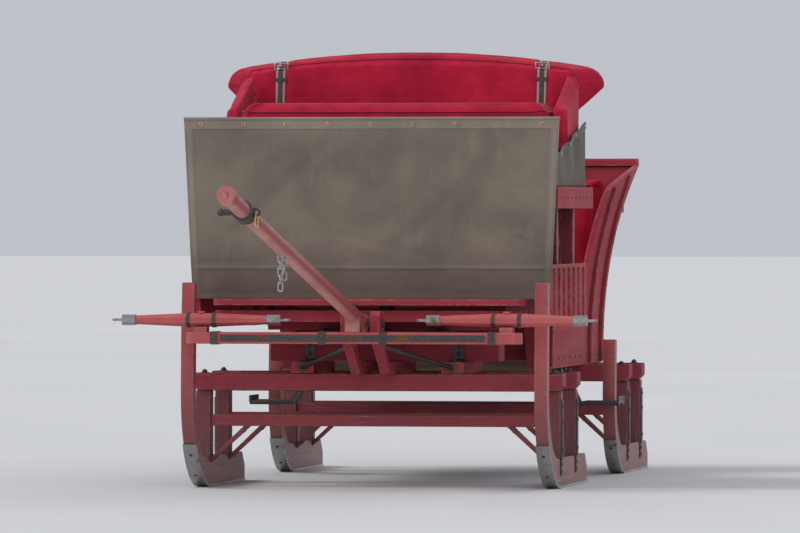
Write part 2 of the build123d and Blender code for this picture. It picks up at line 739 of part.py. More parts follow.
SILL_REAR = TUB_REAR + SILL_OVERHANG
REAR_SILL_BASE = SLEEPER_BASE
REAR_SILL_TOP = REAR_SILL_BASE + REAR_SILL_HIGH
SILL_OUTLINE = (
    (SILL_FRONT, SILL_BASE + SILL_HIGH),
    (SILL_DROP, SILL_BASE + SILL_HIGH),
    (SILL_DROP + SILL_DROP_LONG, REAR_SILL_TOP),
    (SILL_REAR, REAR_SILL_TOP),
    (SILL_REAR, REAR_SILL_BASE),
    (SILL_DROP + SILL_DROP_LONG - SILL_WIDE, REAR_SILL_BASE),
    (SILL_DROP - SILL_WIDE, SILL_BASE),
    (SILL_FRONT, SILL_BASE),
)
with BuildPart() as sills:
    for side in (1, -1):
        with BuildSketch(Plane.YZ.offset(side * SILL_X - SILL_WIDE / 2)):
            with BuildLine():
                Polyline([(back(y), z) for y, z in SILL_OUTLINE], close=True)
            make_face()
        extrude(amount=SILL_WIDE)
save(sills.part, "sills")

footwell_front = FRONT_BENCH_EDGE - FOOTWELL_UNDER
footwell_rear = REAR_BENCH_EDGE + FOOTWELL_UNDER / 4
SILL_INSIDE = SILL_X - SILL_WIDE / 2
with BuildPart() as cross_beams:
    timber(
        (-SILL_INSIDE, SILL_INSIDE),
        (KINGPIN_BACK - BOLSTER_DEEP / 2, KINGPIN_BACK + BOLSTER_DEEP / 2),
        (UPPER_BOLSTER_BASE, CROSS_TOP),
    )
    with Locations((0, back(KINGPIN_BACK), CROSS_TOP)):
        Hole(KINGPIN_RADIUS + SEAT)
    for station in (SILL_FRONT + CROSS_DEEP / 2, SILL_DROP - 2 * CROSS_DEEP):
        timber(
            (-SILL_INSIDE, SILL_INSIDE),
            (station - CROSS_DEEP / 2, station + CROSS_DEEP / 2),
            (CROSS_TOP - CROSS_HIGH, CROSS_TOP),
        )
    for station in (SILL_DROP + SILL_DROP_LONG + CROSS_DEEP, SILL_REAR - CROSS_DEEP):
        timber(
            (-SILL_INSIDE, SILL_INSIDE),
            (station - CROSS_DEEP / 2, station + CROSS_DEEP / 2),
            (REAR_SILL_TOP - CROSS_HIGH, REAR_SILL_TOP),
        )
    timber(
        (-FRONT_BEAM_HALF, FRONT_BEAM_HALF),
        (SILL_FRONT - FRONT_BEAM_DEEP, SILL_FRONT),
        (CROSS_TOP - CROSS_HIGH, CROSS_TOP),
    )
save(cross_beams.part, "cross_beams")

with BuildPart() as front_ledge:
    timber(
        (-FRONT_BEAM_HALF, FRONT_BEAM_HALF),
        (SILL_FRONT - LEDGE_DEEP, SILL_FRONT),
        (SILL_BASE + SILL_HIGH - LEDGE_THICK, SILL_BASE + SILL_HIGH),
    )
    front_corners = front_ledge.edges().filter_by(Axis.Z).group_by(Axis.Y)[0]
    chamfer(front_corners, length=LEDGE_THICK)
save(front_ledge.part, "front_ledge")

# Driver's stand

FLOOR_BASE = SILL_BASE + SILL_HIGH
FLOOR_TOP = FLOOR_BASE + FLOOR
with BuildPart() as front_floor:
    plank = (STAND_REAR - STAND_FRONT + PLANK_GAP) / PLANKS
    for board in range(PLANKS):
        start = STAND_FRONT + board * plank
        timber(
            (-STAND_HALF + SIDE_BOARD, STAND_HALF - SIDE_BOARD),
            (start, start + plank - PLANK_GAP),
            (FLOOR_BASE, FLOOR_TOP),
        )
save(front_floor.part, "front_floor")

panel_front = STAND_FRONT + SIDE_SETBACK
with BuildPart() as lower_panels:
    for side in (1, -1):
        inner, outer = sorted((side * (STAND_HALF - SIDE_BOARD), side * STAND_HALF))
        timber((inner, outer), (panel_front, STAND_REAR), (SIDE_BASE, SIDE_TOP))
        pitch = (STAND_REAR - panel_front - BATTEN_WIDE) / (BATTENS - 1)
        outer, proud = sorted((side * STAND_HALF, side * (STAND_HALF + BATTEN_THICK)))
        for batten in range(BATTENS):
            start = panel_front + batten * pitch
            timber((outer, proud), (start, start + BATTEN_WIDE), (SIDE_BASE, SIDE_TOP))
        cap_inner, cap_outer = sorted(
            (side * (STAND_HALF - SIDE_BOARD), side * (STAND_HALF + BATTEN_THICK))
        )
        timber((cap_inner, cap_outer), (panel_front, STAND_REAR), (SIDE_TOP, SIDE_TOP + SIDE_CAP))
save(lower_panels.part, "lower_panels")

with BuildPart() as dash_posts:
    for side in (1, -1):
        middle = side * (DASH_X - DASH_POST / 2)
        timber(
            (middle - DASH_POST / 2, middle + DASH_POST / 2),
            (STAND_FRONT + SEAT, STAND_FRONT + SEAT + DASH_POST),
            (FLOOR_TOP, DASH_TOP),
        )
save(dash_posts.part, "dash_posts")

with BuildPart() as dash_rails:
    for base in (DASH_MID, DASH_TOP - DASH_RAIL):
        timber(
            (DASH_POST - DASH_X, DASH_X - DASH_POST),
            (STAND_FRONT + SEAT, STAND_FRONT + SEAT + DASH_RAIL),
            (base, base + DASH_RAIL),
        )
save(dash_rails.part, "dash_rails")

with BuildPart() as front_apron:
    with BuildSketch(across(APRON_FRONT + APRON_THICK)):
        with BuildLine():
            Polyline(
                (-APRON_FOOT_HALF, FLOOR_BASE),
                (APRON_FOOT_HALF, FLOOR_BASE),
                (APRON_HEAD_HALF, APRON_TOP),
                (-APRON_HEAD_HALF, APRON_TOP),
                close=True,
            )
        make_face()
    extrude(amount=APRON_THICK)
save(front_apron.part, "front_apron")

DECK_TOP = DECK_BASE + DECK_THICK
deck_front = STAND_FRONT + SEAT + DASH_POST
with BuildPart() as driver_deck:
    timber((-DECK_HALF, DECK_HALF), (deck_front, STAND_REAR), (DECK_BASE, DECK_TOP))
    for inner, outer in both_sides(DECK_HALF, DECK_HALF + DECK_CHEEK_THICK):
        timber(
            (inner, outer), (deck_front, STAND_REAR), (DECK_BASE, DECK_BASE + DECK_CHEEK_HIGH)
        )
save(driver_deck.part, "driver_deck")

with BuildPart() as deck_posts:
    for station in DECK_POST_STATIONS:
        for side in (1, -1):
            middle = side * DECK_POST_X
            timber(
                (middle - DECK_POST / 2, middle + DECK_POST / 2),
                (station - DECK_POST / 2, station + DECK_POST / 2),
                (FLOOR_TOP, DECK_BASE),
            )
save(deck_posts.part, "deck_posts")

with BuildPart() as driver_seat_box:
    timber(
        (-SEAT_BOX_HALF, SEAT_BOX_HALF), (SEAT_BOX_FRONT, STAND_REAR), (DECK_TOP, SEAT_BOX_TOP)
    )
    offset(amount=-WALL, openings=driver_seat_box.faces().sort_by(Axis.Z)[0])
save(driver_seat_box.part, "driver_seat_box")

with BuildPart() as driver_seat_cushion:
    timber(
        (SEAT - SEAT_BOX_HALF, SEAT_BOX_HALF - SEAT),
        (CUSHION_FRONT, CUSHION_REAR),
        (SEAT_BOX_TOP + SEAT, SEAT_BOX_TOP + CUSHION_HIGH),
    )
    chamfer(driver_seat_cushion.edges(), length=CUSHION_EDGE)
save(driver_seat_cushion.part, "driver_seat_cushion")

# The backrest leans back from its foot, and its outline is drawn up from there.
BACKREST_REAR = CUSHION_REAR + SEAT + BACKREST_THICK
lean = math.radians(BACKREST_LEAN)
backrest_plane = Plane(
    origin=(0, back(BACKREST_REAR), BACKREST_FOOT),
    x_dir=(1, 0, 0),
    z_dir=(0, -math.cos(lean), math.sin(lean)),
)
arch_sag = BACKREST_TOP - BACKREST_SHOULDER
arch_radius = (BACKREST_SHOULDER_HALF**2 + arch_sag**2) / (2 * arch_sag)
arch_slope = math.asin(BACKREST_SHOULDER_HALF / arch_radius)
ear_x = BACKREST_SHOULDER_HALF - EAR_ROUND * math.sin(arch_slope)
ear_z = BACKREST_SHOULDER - EAR_ROUND * math.cos(arch_slope)
ear_turn = 90 - math.degrees(arch_slope)
with BuildPart() as driver_backrest:
    with BuildSketch(backrest_plane):
        with BuildLine():
            Line((-BACKREST_FOOT_HALF, 0), (BACKREST_FOOT_HALF, 0))
            ThreePointArc(
                (BACKREST_SHOULDER_HALF, BACKREST_SHOULDER),
                (0, BACKREST_TOP),
                (-BACKREST_SHOULDER_HALF, BACKREST_SHOULDER),
            )
            for side in (1, -1):
                Line((side * BACKREST_FOOT_HALF, 0), (side * (ear_x + EAR_ROUND), ear_z))
                ear_end = 90 - side * 90
                CenterArc((side * ear_x, ear_z), EAR_ROUND, ear_end, side * ear_turn)
        make_face()
    extrude(amount=BACKREST_THICK)
    chamfer(driver_backrest.faces().sort_by(Axis.Y)[0].edges(), length=BACKREST_THICK / 5)
save(driver_backrest.part, "driver_backrest")

# Straps over the backrest, shaped like a narrow U turned down.
strap_inner = STRAP_X - STRAP_WIDE / 2
arch_drop = arch_radius - math.sqrt(arch_radius**2 - strap_inner**2)
strap_top = BACKREST_TOP - arch_drop + SEAT
lean_side = Plane(
    origin=(0, back(BACKREST_REAR), BACKREST_FOOT),
    x_dir=(0, -math.cos(lean), math.sin(lean)),
    z_dir=(-1, 0, 0),
)
with BuildPart() as backrest_straps:
    for side in (1, -1):
        with BuildSketch(lean_side.offset(-side * STRAP_X)):
            with BuildLine():
                Polyline(
                    (-SEAT - STRAP_THICK, -STRAP_HANG),
                    (-SEAT - STRAP_THICK, strap_top + STRAP_THICK),
                    (BACKREST_THICK + SEAT + STRAP_THICK, strap_top + STRAP_THICK),
                    (BACKREST_THICK + SEAT + STRAP_THICK, STRAP_FRONT_FOOT),
                    (BACKREST_THICK + SEAT, STRAP_FRONT_FOOT),
                    (BACKREST_THICK + SEAT, strap_top),
                    (-SEAT, strap_top),
                    (-SEAT, -STRAP_HANG),
                    close=True,
                )
            make_face()
        extrude(amount=STRAP_WIDE / 2, both=True)
save(backrest_straps.part, "backrest_straps")

# Flat irons bolted to the seat box carry the backrest.
with BuildPart() as backrest_irons:
    for middle in IRON_X:
        head = backrest_plane.from_local_coords((0, IRON_HEAD, -SEAT))
        foot_y = back(STAND_REAR)
        knee = backrest_plane.from_local_coords((0, 0, -SEAT))
        across_lean = Vector(0, math.cos(lean), -math.sin(lean)) * IRON_THICK
        with BuildSketch(Plane.YZ.offset(middle - IRON_WIDE / 2)):
            with BuildLine():
                Polyline(
                    (foot_y, IRON_FOOT),
                    (foot_y, SEAT_BOX_TOP - IRON_THICK),
                    (knee.Y, knee.Z),
                    (head.Y, head.Z),
                    (head.Y + across_lean.Y, head.Z + across_lean.Z),
                    (knee.Y + across_lean.Y, knee.Z + across_lean.Z - IRON_THICK),
                    (foot_y + IRON_THICK, SEAT_BOX_TOP - 2 * IRON_THICK),
                    (foot_y + IRON_THICK, IRON_FOOT),
                    close=True,
                )
            make_face()
        extrude(amount=IRON_WIDE)
save(backrest_irons.part, "backrest_irons")

# Upholstered arm cheeks, high at the backrest and low in front.
with BuildPart() as driver_arms:
    for inner, outer in both_sides(SEAT_BOX_HALF, SEAT_BOX_HALF + ARM_THICK):
        with BuildSketch(Plane.YZ.offset(inner)) as arm_outline:
            with BuildLine():
                Polyline(
                    (back(ARM_FRONT), ARM_FOOT),
                    (back(CUSHION_REAR - SEAT), ARM_FOOT),
                    (back(CUSHION_REAR - SEAT), ARM_REAR_TOP),
                    (back(ARM_FRONT), ARM_FRONT_TOP),
                    close=True,
                )
            make_face()
            fillet(arm_outline.vertices().group_by(Axis.X)[0].sort_by(Axis.Y)[-1], ARM_THICK)
        extrude(amount=outer - inner)
save(driver_arms.part, "driver_arms")

# Tarpaulin at the sides of the driver's legs, cut on a slant up to the seat.
CHEEK_TOP = DECK_BASE + DECK_CHEEK_HIGH
with BuildPart() as apron_sides:
    for inner, outer in both_sides(APRON_SIDE_X, APRON_SIDE_X + APRON_SIDE_THICK):
        with BuildSketch(Plane.YZ.offset(inner)):
            with BuildLine():
                Polyline(
                    (back(STAND_FRONT + SEAT), CHEEK_TOP + SEAT),
                    (back(STAND_REAR), CHEEK_TOP + SEAT),
                    (back(STAND_REAR), APRON_SIDE_REAR_TOP),
                    (back(STAND_FRONT + SEAT), APRON_SIDE_FRONT_TOP),
                    close=True,
                )
            make_face()
        extrude(amount=outer - inner)
save(apron_sides.part, "apron_sides")

# Passenger tub

TUB_FOOT = SILL_X + SILL_WIDE / 2
TUB_KNEE = REAR_SILL_TOP
TUB_TOP = TUB_KNEE + TUB_FLARE_RISE
FLARE_RADIUS = (TUB_FLARE_OUT**2 + TUB_FLARE_RISE**2) / (2 * TUB_FLARE_OUT)
REAR_RADIUS = (REAR_FLARE_OUT**2 + TUB_FLARE_RISE**2) / (2 * REAR_FLARE_OUT)


def flare_angle(radius, height):
    """Degrees that a flared face turns from upright up to a height."""
    return math.degrees(math.asin((height - TUB_KNEE) / radius))


def tub_half(height):
    """Half the tub's inner width at a height."""
    return TUB_FOOT + FLARE_RADIUS - math.sqrt(FLARE_RADIUS**2 - (height - TUB_KNEE) ** 2)


def rear_face(height):
    """How far back the rear panel's inner face is at a height."""
    return TUB_REAR + REAR_RADIUS - math.sqrt(REAR_RADIUS**2 - (height - TUB_KNEE) ** 2)


def tub_outline(top):
    """Lines round the tub's hollow, across the sleigh."""
    angle = flare_angle(FLARE_RADIUS, top)
    half = tub_half(top)
    Line((-TUB_FOOT, REAR_SILL_BASE), (TUB_FOOT, REAR_SILL_BASE))
    Line((TUB_FOOT, REAR_SILL_BASE), (TUB_FOOT, TUB_KNEE))
    CenterArc((TUB_FOOT + FLARE_RADIUS, TUB_KNEE), FLARE_RADIUS, 180, -angle)
    Line((half, top), (-half, top))
    CenterArc((-TUB_FOOT - FLARE_RADIUS, TUB_KNEE), FLARE_RADIUS, 0, angle)
    Line((-TUB_FOOT, TUB_KNEE), (-TUB_FOOT, REAR_SILL_BASE))


entrance_front = FRONT_BENCH_EDGE + ENTRANCE_INSET
entrance_rear = REAR_BENCH_EDGE - ENTRANCE_INSET
outer_radius = FLARE_RADIUS - PANEL
outer_angle = flare_angle(outer_radius, TUB_TOP)
outer_top = TUB_FOOT + FLARE_RADIUS - outer_radius * math.cos(math.radians(outer_angle))
panel_rear_radius = REAR_RADIUS - PANEL
panel_rear_angle = flare_angle(panel_rear_radius, TUB_TOP)
panel_rear_top = TUB_REAR + REAR_RADIUS - panel_rear_radius * math.cos(math.radians(panel_rear_angle))
with BuildPart() as tub_side:
    with BuildSketch(across(TAIL_REACH)):
        with BuildLine():
            Line((TUB_FOOT, REAR_SILL_BASE), (TUB_FOOT, TUB_KNEE))
            CenterArc(
                (TUB_FOOT + FLARE_RADIUS, TUB_KNEE),
                FLARE_RADIUS,
                180,
                -flare_angle(FLARE_RADIUS, TUB_TOP),
            )
            Line((tub_half(TUB_TOP), TUB_TOP), (outer_top, TUB_TOP))
            CenterArc((TUB_FOOT + FLARE_RADIUS, TUB_KNEE), outer_radius, 180, -outer_angle)
            Line((TUB_FOOT + PANEL, TUB_KNEE), (TUB_FOOT + PANEL, REAR_SILL_BASE))
            Line((TUB_FOOT + PANEL, REAR_SILL_BASE), (TUB_FOOT, REAR_SILL_BASE))
        make_face()
    extrude(amount=TAIL_REACH - TUB_FRONT)
    with BuildSketch(Plane.YZ.offset(TUB_FOOT - PANEL)) as side_outline:
        with BuildLine():
            Polyline(
                (back(TUB_REAR + PANEL), TUB_KNEE),
                (back(TUB_REAR + PANEL), REAR_SILL_BASE),
                (back(TUB_FRONT), REAR_SILL_BASE),
                (back(TUB_FRONT), TUB_SHOULDER),
                (back(TUB_FRONT + ENTRANCE_ROUND), TUB_SHOULDER),
                (back(entrance_front), ENTRANCE_SILL),
                (back(entrance_rear), ENTRANCE_SILL),
                (back(entrance_rear + ENTRANCE_ROUND), TUB_SHOULDER),
                (back(panel_rear_top), TUB_TOP),
            )
            CenterArc(
                (back(TUB_REAR + REAR_RADIUS), TUB_KNEE), panel_rear_radius, 180, -panel_rear_angle
            )
        make_face()
        entrance_corners = side_outline.vertices().filter_by(
            lambda corner: back(TUB_FRONT + SEAT) < corner.X < back(TUB_REAR)
        )
        fillet(entrance_corners, radius=ENTRANCE_CORNER)
    extrude(amount=TUB_FLARE_OUT + 3 * PANEL, mode=Mode.INTERSECT)
with BuildPart() as tub_sides:
    add(tub_side.part)
    mirror(tub_side.part, about=Plane.YZ)
save(tub_sides.part, "tub_sides")

with BuildPart() as tub_front_panel:
    with BuildSketch(across(TUB_FRONT + WALL)):
        with BuildLine():
            tub_outline(TUB_SHOULDER)
        make_face()
    extrude(amount=WALL)
    split(bisect_by=Plane.XY.offset(REAR_SILL_TOP), keep=Keep.TOP)
save(tub_front_panel.part, "tub_front_panel")

with BuildPart() as tub_rear_panel:
    with BuildSketch(Plane.YZ.offset(-STAND_HALF - PANEL)):
        with BuildLine():
            Line((back(TUB_REAR), TUB_KNEE), (back(TUB_REAR + PANEL), TUB_KNEE))
            CenterArc(
                (back(TUB_REAR + REAR_RADIUS), TUB_KNEE), panel_rear_radius, 180, -panel_rear_angle
            )
            Line((back(panel_rear_top), TUB_TOP), (back(rear_face(TUB_TOP)), TUB_TOP))
            CenterArc(
                (back(TUB_REAR + REAR_RADIUS), TUB_KNEE),
                REAR_RADIUS,
                180,
                -flare_angle(REAR_RADIUS, TUB_TOP),
            )
        make_face()
    extrude(amount=2 * (STAND_HALF + PANEL))
    with BuildSketch(across(TAIL_REACH)):
        with BuildLine():
            tub_outline(TUB_TOP)
        make_face()
    extrude(amount=TAIL_REACH - TUB_FRONT, mode=Mode.INTERSECT)
save(tub_rear_panel.part, "tub_rear_panel")

with BuildPart() as tub_rear_rail:
    timber(
        (-outer_top, outer_top), (TAIL_REACH - RAIL_DEEP, TAIL_REACH), (TUB_TOP, TUB_TOP + RAIL_HIGH)
    )
    fillet(tub_rear_rail.edges().filter_by(Axis.X).group_by(Axis.Z)[-1], radius=RAIL_HIGH / 3)
save(tub_rear_rail.part, "tub_rear_rail")

with BuildPart() as footwell:
    timber(
        (-SILL_INSIDE, SILL_INSIDE), (footwell_front, footwell_rear), (FOOTWELL_BASE, REAR_SILL_TOP)
    )
    offset(amount=-WALL, openings=footwell.faces().sort_by(Axis.Z)[-1])
save(footwell.part, "footwell")

BENCH_FLOOR_TOP = REAR_SILL_TOP + BENCH_FLOOR
with BuildPart() as bench_floors:
    for start, end in ((TUB_FRONT + WALL, footwell_front + WALL), (footwell_rear - WALL, TUB_REAR)):
        timber((-TUB_FOOT, TUB_FOOT), (start, end), (REAR_SILL_TOP, BENCH_FLOOR_TOP))
save(bench_floors.part, "bench_floors")

BENCH_BOARD_BASE = BENCH_TOP - BENCH_BOARD
bench_half = tub_half(BENCH_BOARD_BASE)
with BuildPart() as bench_boxes:
    timber(
        (-bench_half, bench_half), (TUB_FRONT + WALL, FRONT_BENCH_EDGE), (BENCH_BOARD_BASE, BENCH_TOP)
    )
    timber(
        (-TUB_FOOT, TUB_FOOT),
        (footwell_front, footwell_front + WALL),
        (BENCH_FLOOR_TOP, BENCH_BOARD_BASE),
    )
    timber((-bench_half, bench_half), (REAR_BENCH_EDGE, TUB_REAR), (BENCH_BOARD_BASE, BENCH_TOP))
    timber(
        (-TUB_FOOT, TUB_FOOT),
        (footwell_rear - WALL, footwell_rear),
        (BENCH_FLOOR_TOP, BENCH_BOARD_BASE),
    )
save(bench_boxes.part, "bench_boxes")

cushion_half = tub_half(BENCH_TOP) - CUSHION_OVERHANG
CUSHION_TOP = BENCH_TOP + BENCH_CUSHION_HIGH
BENCHES = (
    ("front", TUB_FRONT + WALL + SEAT, FRONT_BENCH_EDGE + CUSHION_OVERHANG),
    ("rear", REAR_BENCH_EDGE - CUSHION_OVERHANG, TUB_REAR - SEAT),
)
for bench, start, end in BENCHES:
    with BuildPart() as bench_cushion:
        timber((-cushion_half, cushion_half), (start, end), (BENCH_TOP + SEAT, CUSHION_TOP))
        chamfer(bench_cushion.edges(), length=CUSHION_EDGE)
    save(bench_cushion.part, f"bench_cushion_{bench}")

back_half = tub_half(CUSHION_TOP) - CUSHION_OVERHANG
with BuildPart() as bench_back_front:
    timber(
        (-back_half, back_half),
        (TUB_FRONT + WALL + SEAT, TUB_FRONT + WALL + BENCH_BACK_THICK),
        (CUSHION_TOP + SEAT, TUB_SHOULDER - SEAT),
    )
    chamfer(bench_back_front.edges(), length=BENCH_BACK_EDGE)
save(bench_back_front.part, "bench_back_front")

with BuildPart() as bench_back_rear:
    with BuildSketch(Plane.YZ.offset(-back_half)):
        with BuildLine():
            lean = CenterArc(
                (back(TUB_REAR + REAR_RADIUS), TUB_KNEE),
                REAR_RADIUS + SEAT,
                180 - flare_angle(REAR_RADIUS, CUSHION_TOP + SEAT),
                flare_angle(REAR_RADIUS, CUSHION_TOP) - flare_angle(REAR_RADIUS, BENCH_BACK_TOP),
            )
            Polyline(
                lean @ 1,
                lean @ 1 - (BENCH_BACK_THICK, 0),
                lean @ 0 - (BENCH_BACK_THICK, 0),
                lean @ 0,
            )
        make_face()
    extrude(amount=2 * back_half)
    chamfer(bench_back_rear.edges(), length=BENCH_BACK_EDGE)
save(bench_back_rear.part, "bench_back_rear")

# Steps: an iron tread hung on two bent irons under each sill.

with BuildPart() as steps:
    step_front = entrance_front
    for side in (1, -1):
        for iron in (step_front + STEP_IRON, step_front + STEP_LONG - STEP_IRON):
            with BuildSketch(across(iron + STEP_IRON / 2)):
                with BuildLine():
                    Polyline(
                        (side * SILL_INSIDE, REAR_SILL_BASE),
                        (side * TUB_FOOT, REAR_SILL_BASE),
                        (side * TUB_FOOT, REAR_SILL_BASE - STEP_THICK),
                        (side * (STEP_INNER + STEP_THICK), STEP_Z),
                        (side * STEP_OUTER, STEP_Z),
                        (side * STEP_OUTER, STEP_Z - STEP_THICK),
                        (side * STEP_INNER, STEP_Z - STEP_THICK),
                        (side * (TUB_FOOT - STEP_THICK), REAR_SILL_BASE - STEP_THICK),
                        (side * SILL_INSIDE, REAR_SILL_BASE - STEP_THICK),
                        close=True,
                    )
                make_face()
            extrude(amount=STEP_IRON)
        inner, outer = sorted((side * (STEP_INNER + 2 * STEP_THICK), side * STEP_OUTER))
        timber((inner, outer), (step_front, step_front + STEP_LONG), (STEP_Z, STEP_Z + STEP_THICK))
        lip_inner, lip_outer = sorted((side * STEP_OUTER, side * (STEP_OUTER - STEP_THICK)))
        timber(
            (lip_inner, lip_outer), (step_front, step_front + STEP_LONG), (STEP_Z, STEP_Z + STEP_LIP)
        )
save(steps.part, "steps")
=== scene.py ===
import math

import bmesh
import bpy
from mathutils import Euler, Matrix, Vector, noise
from mathutils.bvhtree import BVHTree


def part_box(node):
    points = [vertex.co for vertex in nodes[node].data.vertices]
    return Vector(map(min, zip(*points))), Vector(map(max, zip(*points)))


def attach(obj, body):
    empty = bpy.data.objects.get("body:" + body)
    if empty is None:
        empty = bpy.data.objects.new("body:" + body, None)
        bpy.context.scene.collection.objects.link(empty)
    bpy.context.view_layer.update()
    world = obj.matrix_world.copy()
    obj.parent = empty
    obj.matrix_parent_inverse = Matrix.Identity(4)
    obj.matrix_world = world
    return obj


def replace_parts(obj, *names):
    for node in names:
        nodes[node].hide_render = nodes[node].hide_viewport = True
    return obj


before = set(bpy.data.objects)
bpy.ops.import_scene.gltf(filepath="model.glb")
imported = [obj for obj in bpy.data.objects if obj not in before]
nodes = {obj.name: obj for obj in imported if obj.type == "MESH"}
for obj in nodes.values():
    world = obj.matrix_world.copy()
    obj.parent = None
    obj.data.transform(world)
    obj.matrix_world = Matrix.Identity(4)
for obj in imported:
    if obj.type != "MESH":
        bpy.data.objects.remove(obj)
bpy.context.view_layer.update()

# Places along the sleigh are distances back from the line through the swingletrees, in metres.
LINE_Y = -0.235
SIDEWAYS, LENGTHWAYS, UPWARDS = Vector((1, 0, 0)), Vector((0, 1, 0)), Vector((0, 0, 1))


def back(distance):
    """Y of a place measured back from the swingletree line."""
    return LINE_Y + distance


def at(x, distance, z):
    """A place on the sleigh, measured back from the swingletree line."""
    return Vector((x, back(distance), z))


def within(value):
    """A number held between 0 and 1."""
    return max(0.0, min(1.0, value))


def spread(start, end, steps):
    """Evenly spaced numbers from start to end, with both of them."""
    return [start + (end - start) * k / steps for k in range(steps + 1)]


def circle(centre, across, up, radius, count, turn=0.0):
    """Points round a centre; turn is a share of the step from one to the next."""
    angles = [2 * math.pi * (index + turn) / count for index in range(count)]
    spokes = [across * math.cos(a) * radius + up * math.sin(a) * radius for a in angles]
    return [centre + spoke for spoke in spokes]


def square_to(axis):
    """A direction at right angles to an axis."""
    return axis.cross(UPWARDS if abs(axis.z) < 0.9 else SIDEWAYS).normalized()


def linked(name, data):
    """A new object in the scene."""
    made = bpy.data.objects.new(name, data)
    bpy.context.scene.collection.objects.link(made)
    return made


# Materials

INPUTS = {
    "color": "Base Color",
    "rough": "Roughness",
    "metal": "Metallic",
    "coat": "Coat Weight",
    "coat_rough": "Coat Roughness",
    "sheen": "Sheen Weight",
    "sheen_rough": "Sheen Roughness",
    "specular": "Specular IOR Level",
}


class Graph:
    """A material's node tree, with short ways to add and join nodes."""

    def __init__(self, name):
        self.material = bpy.data.materials.new(name)
        self.material.use_nodes = True
        self.tree = self.material.node_tree
        self.tree.nodes.clear()
        self.shader = self.node("ShaderNodeBsdfPrincipled")
        self.node("ShaderNodeOutputMaterial", {"Surface": self.shader.outputs["BSDF"]})
        coordinates = self.node("ShaderNodeTexCoord")
        self.place, self.facing = coordinates.outputs["Object"], coordinates.outputs["Normal"]

    def node(self, kind, values=None, **settings):
        """A new node with its inputs and settings."""
        made = self.tree.nodes.new(kind)
        for key, value in settings.items():
            setattr(made, key, value)
        return self.feed(made, values or {})

    def feed(self, made, values):
        """Give a node its inputs by name: another node's output, or a plain value."""
        for key, value in values.items():
            if isinstance(value, bpy.types.NodeSocket):
                self.tree.links.new(value, made.inputs[key])
            else:
                made.inputs[key].default_value = value
        return made

    def scaled(self, scale):
        """The place of a point, scaled by axis."""
        made = self.node("ShaderNodeMapping", {"Vector": self.place, "Scale": scale})
        return made.outputs["Vector"]

    def axes(self):
        """X, Y and Z of a point on the sleigh at rest."""
        return list(self.node("ShaderNodeSeparateXYZ", {0: self.place}).outputs)

    def noise(self, scale, detail=4.0, roughness=0.55, distortion=0.0, place=None):
        form = {"Scale": scale, "Detail": detail, "Roughness": roughness, "Distortion": distortion}
        form["Vector"] = place or self.place
        return self.node("ShaderNodeTexNoise", form).outputs["Fac"]

    def ramp(self, value, low, high, start=0.0, end=1.0):
        """A value between two limits, stretched to another range and held there."""
        limits = {"From Min": low, "From Max": high, "To Min": start, "To Max": end}
        made = self.node("ShaderNodeMapRange", {"Value": value, **limits}, clamp=True)
        return made.outputs["Result"]

    def maths(self, operation, first, second=0.0):
        made = self.node("ShaderNodeMath", {0: first, 1: second}, operation=operation)
        return made.outputs["Value"]

    def times(self, first, second):
        return self.maths("MULTIPLY", first, second)

    def dot(self, first, second):
        """The cosine of the angle between two directions."""
        made = self.node("ShaderNodeVectorMath", {0: first, 1: second}, operation="DOT_PRODUCT")
        return made.outputs["Value"]

    def mix(self, factor, first, second):
        """Two colours mixed by a factor."""
        made = self.node("ShaderNodeMix", data_type="RGBA")
        return self.feed(made, {0: factor, 6: first, 7: second}).outputs[2]

    def between(self, value, low, high, first, second, share=1.0):
        """Two colours mixed by where a value lies between two limits, up to a share."""
        return self.mix(self.ramp(value, low, high, 0.0, share), first, second)

    def edges(self, radius, sharp, flat):
        """1 on worn edges and 0 on flat faces, by how far a rounded normal leaves the plain one."""
        rounded = self.node("ShaderNodeBevel", {"Radius": radius}, samples=4)
        plain = self.node("ShaderNodeNewGeometry")
        return self.ramp(self.dot(rounded.outputs["Normal"], plain.outputs["Normal"]), flat, sharp)

    def corners(self, reach, most=0.85):
        """Most deep in corners between faces, and 0 in the open: a mask for painted shade."""
        shade = self.node("ShaderNodeAmbientOcclusion", {"Distance": reach}, samples=6)
        return self.ramp(shade.outputs["AO"], 0.75, 0.2, 0.0, most)

    def bump(self, heights):
        """Small bumps, one after the other, given as (value, distance in metres, strength)."""
        normal = {}
        for value, distance, strength in heights:
            form = {"Height": value, "Distance": distance, "Strength": strength}
            made = self.node("ShaderNodeBump", {**form, **normal})
            normal = {"Normal": made.outputs["Normal"]}
        self.feed(self.shader, normal)

    def finish(self, **values):
        """The material, with its shader's inputs fed by short names."""
        self.feed(self.shader, {INPUTS[key]: value for key, value in values.items()})
        return self.material


def rgb(red, green, blue):
    return (red, green, blue, 1.0)


def toned(color, times=1.0, plus=0.0):
    """A colour made darker or lighter."""
    return [part * times + plus for part in color[:3]] + [1.0]


GRAIN = {"x": (1.0, 30.0, 30.0), "y": (30.0, 1.0, 30.0), "z": (30.0, 30.0, 1.0)}
# The first colour is the near-black of painted shade with grime, for corners.
SHADE_AND_GRIME, ROAD_DIRT, SALT = rgb(0.07, 0.035, 0.033), rgb(0.13, 0.085, 0.08), rgb(0.42, 0.36, 0.35)
# Faces turned towards this direction keep the lighter colour; faces turned away take the painted
# shade colour.
PAINTED_LIGHT_FROM = (-0.8, 0.0, -0.6)


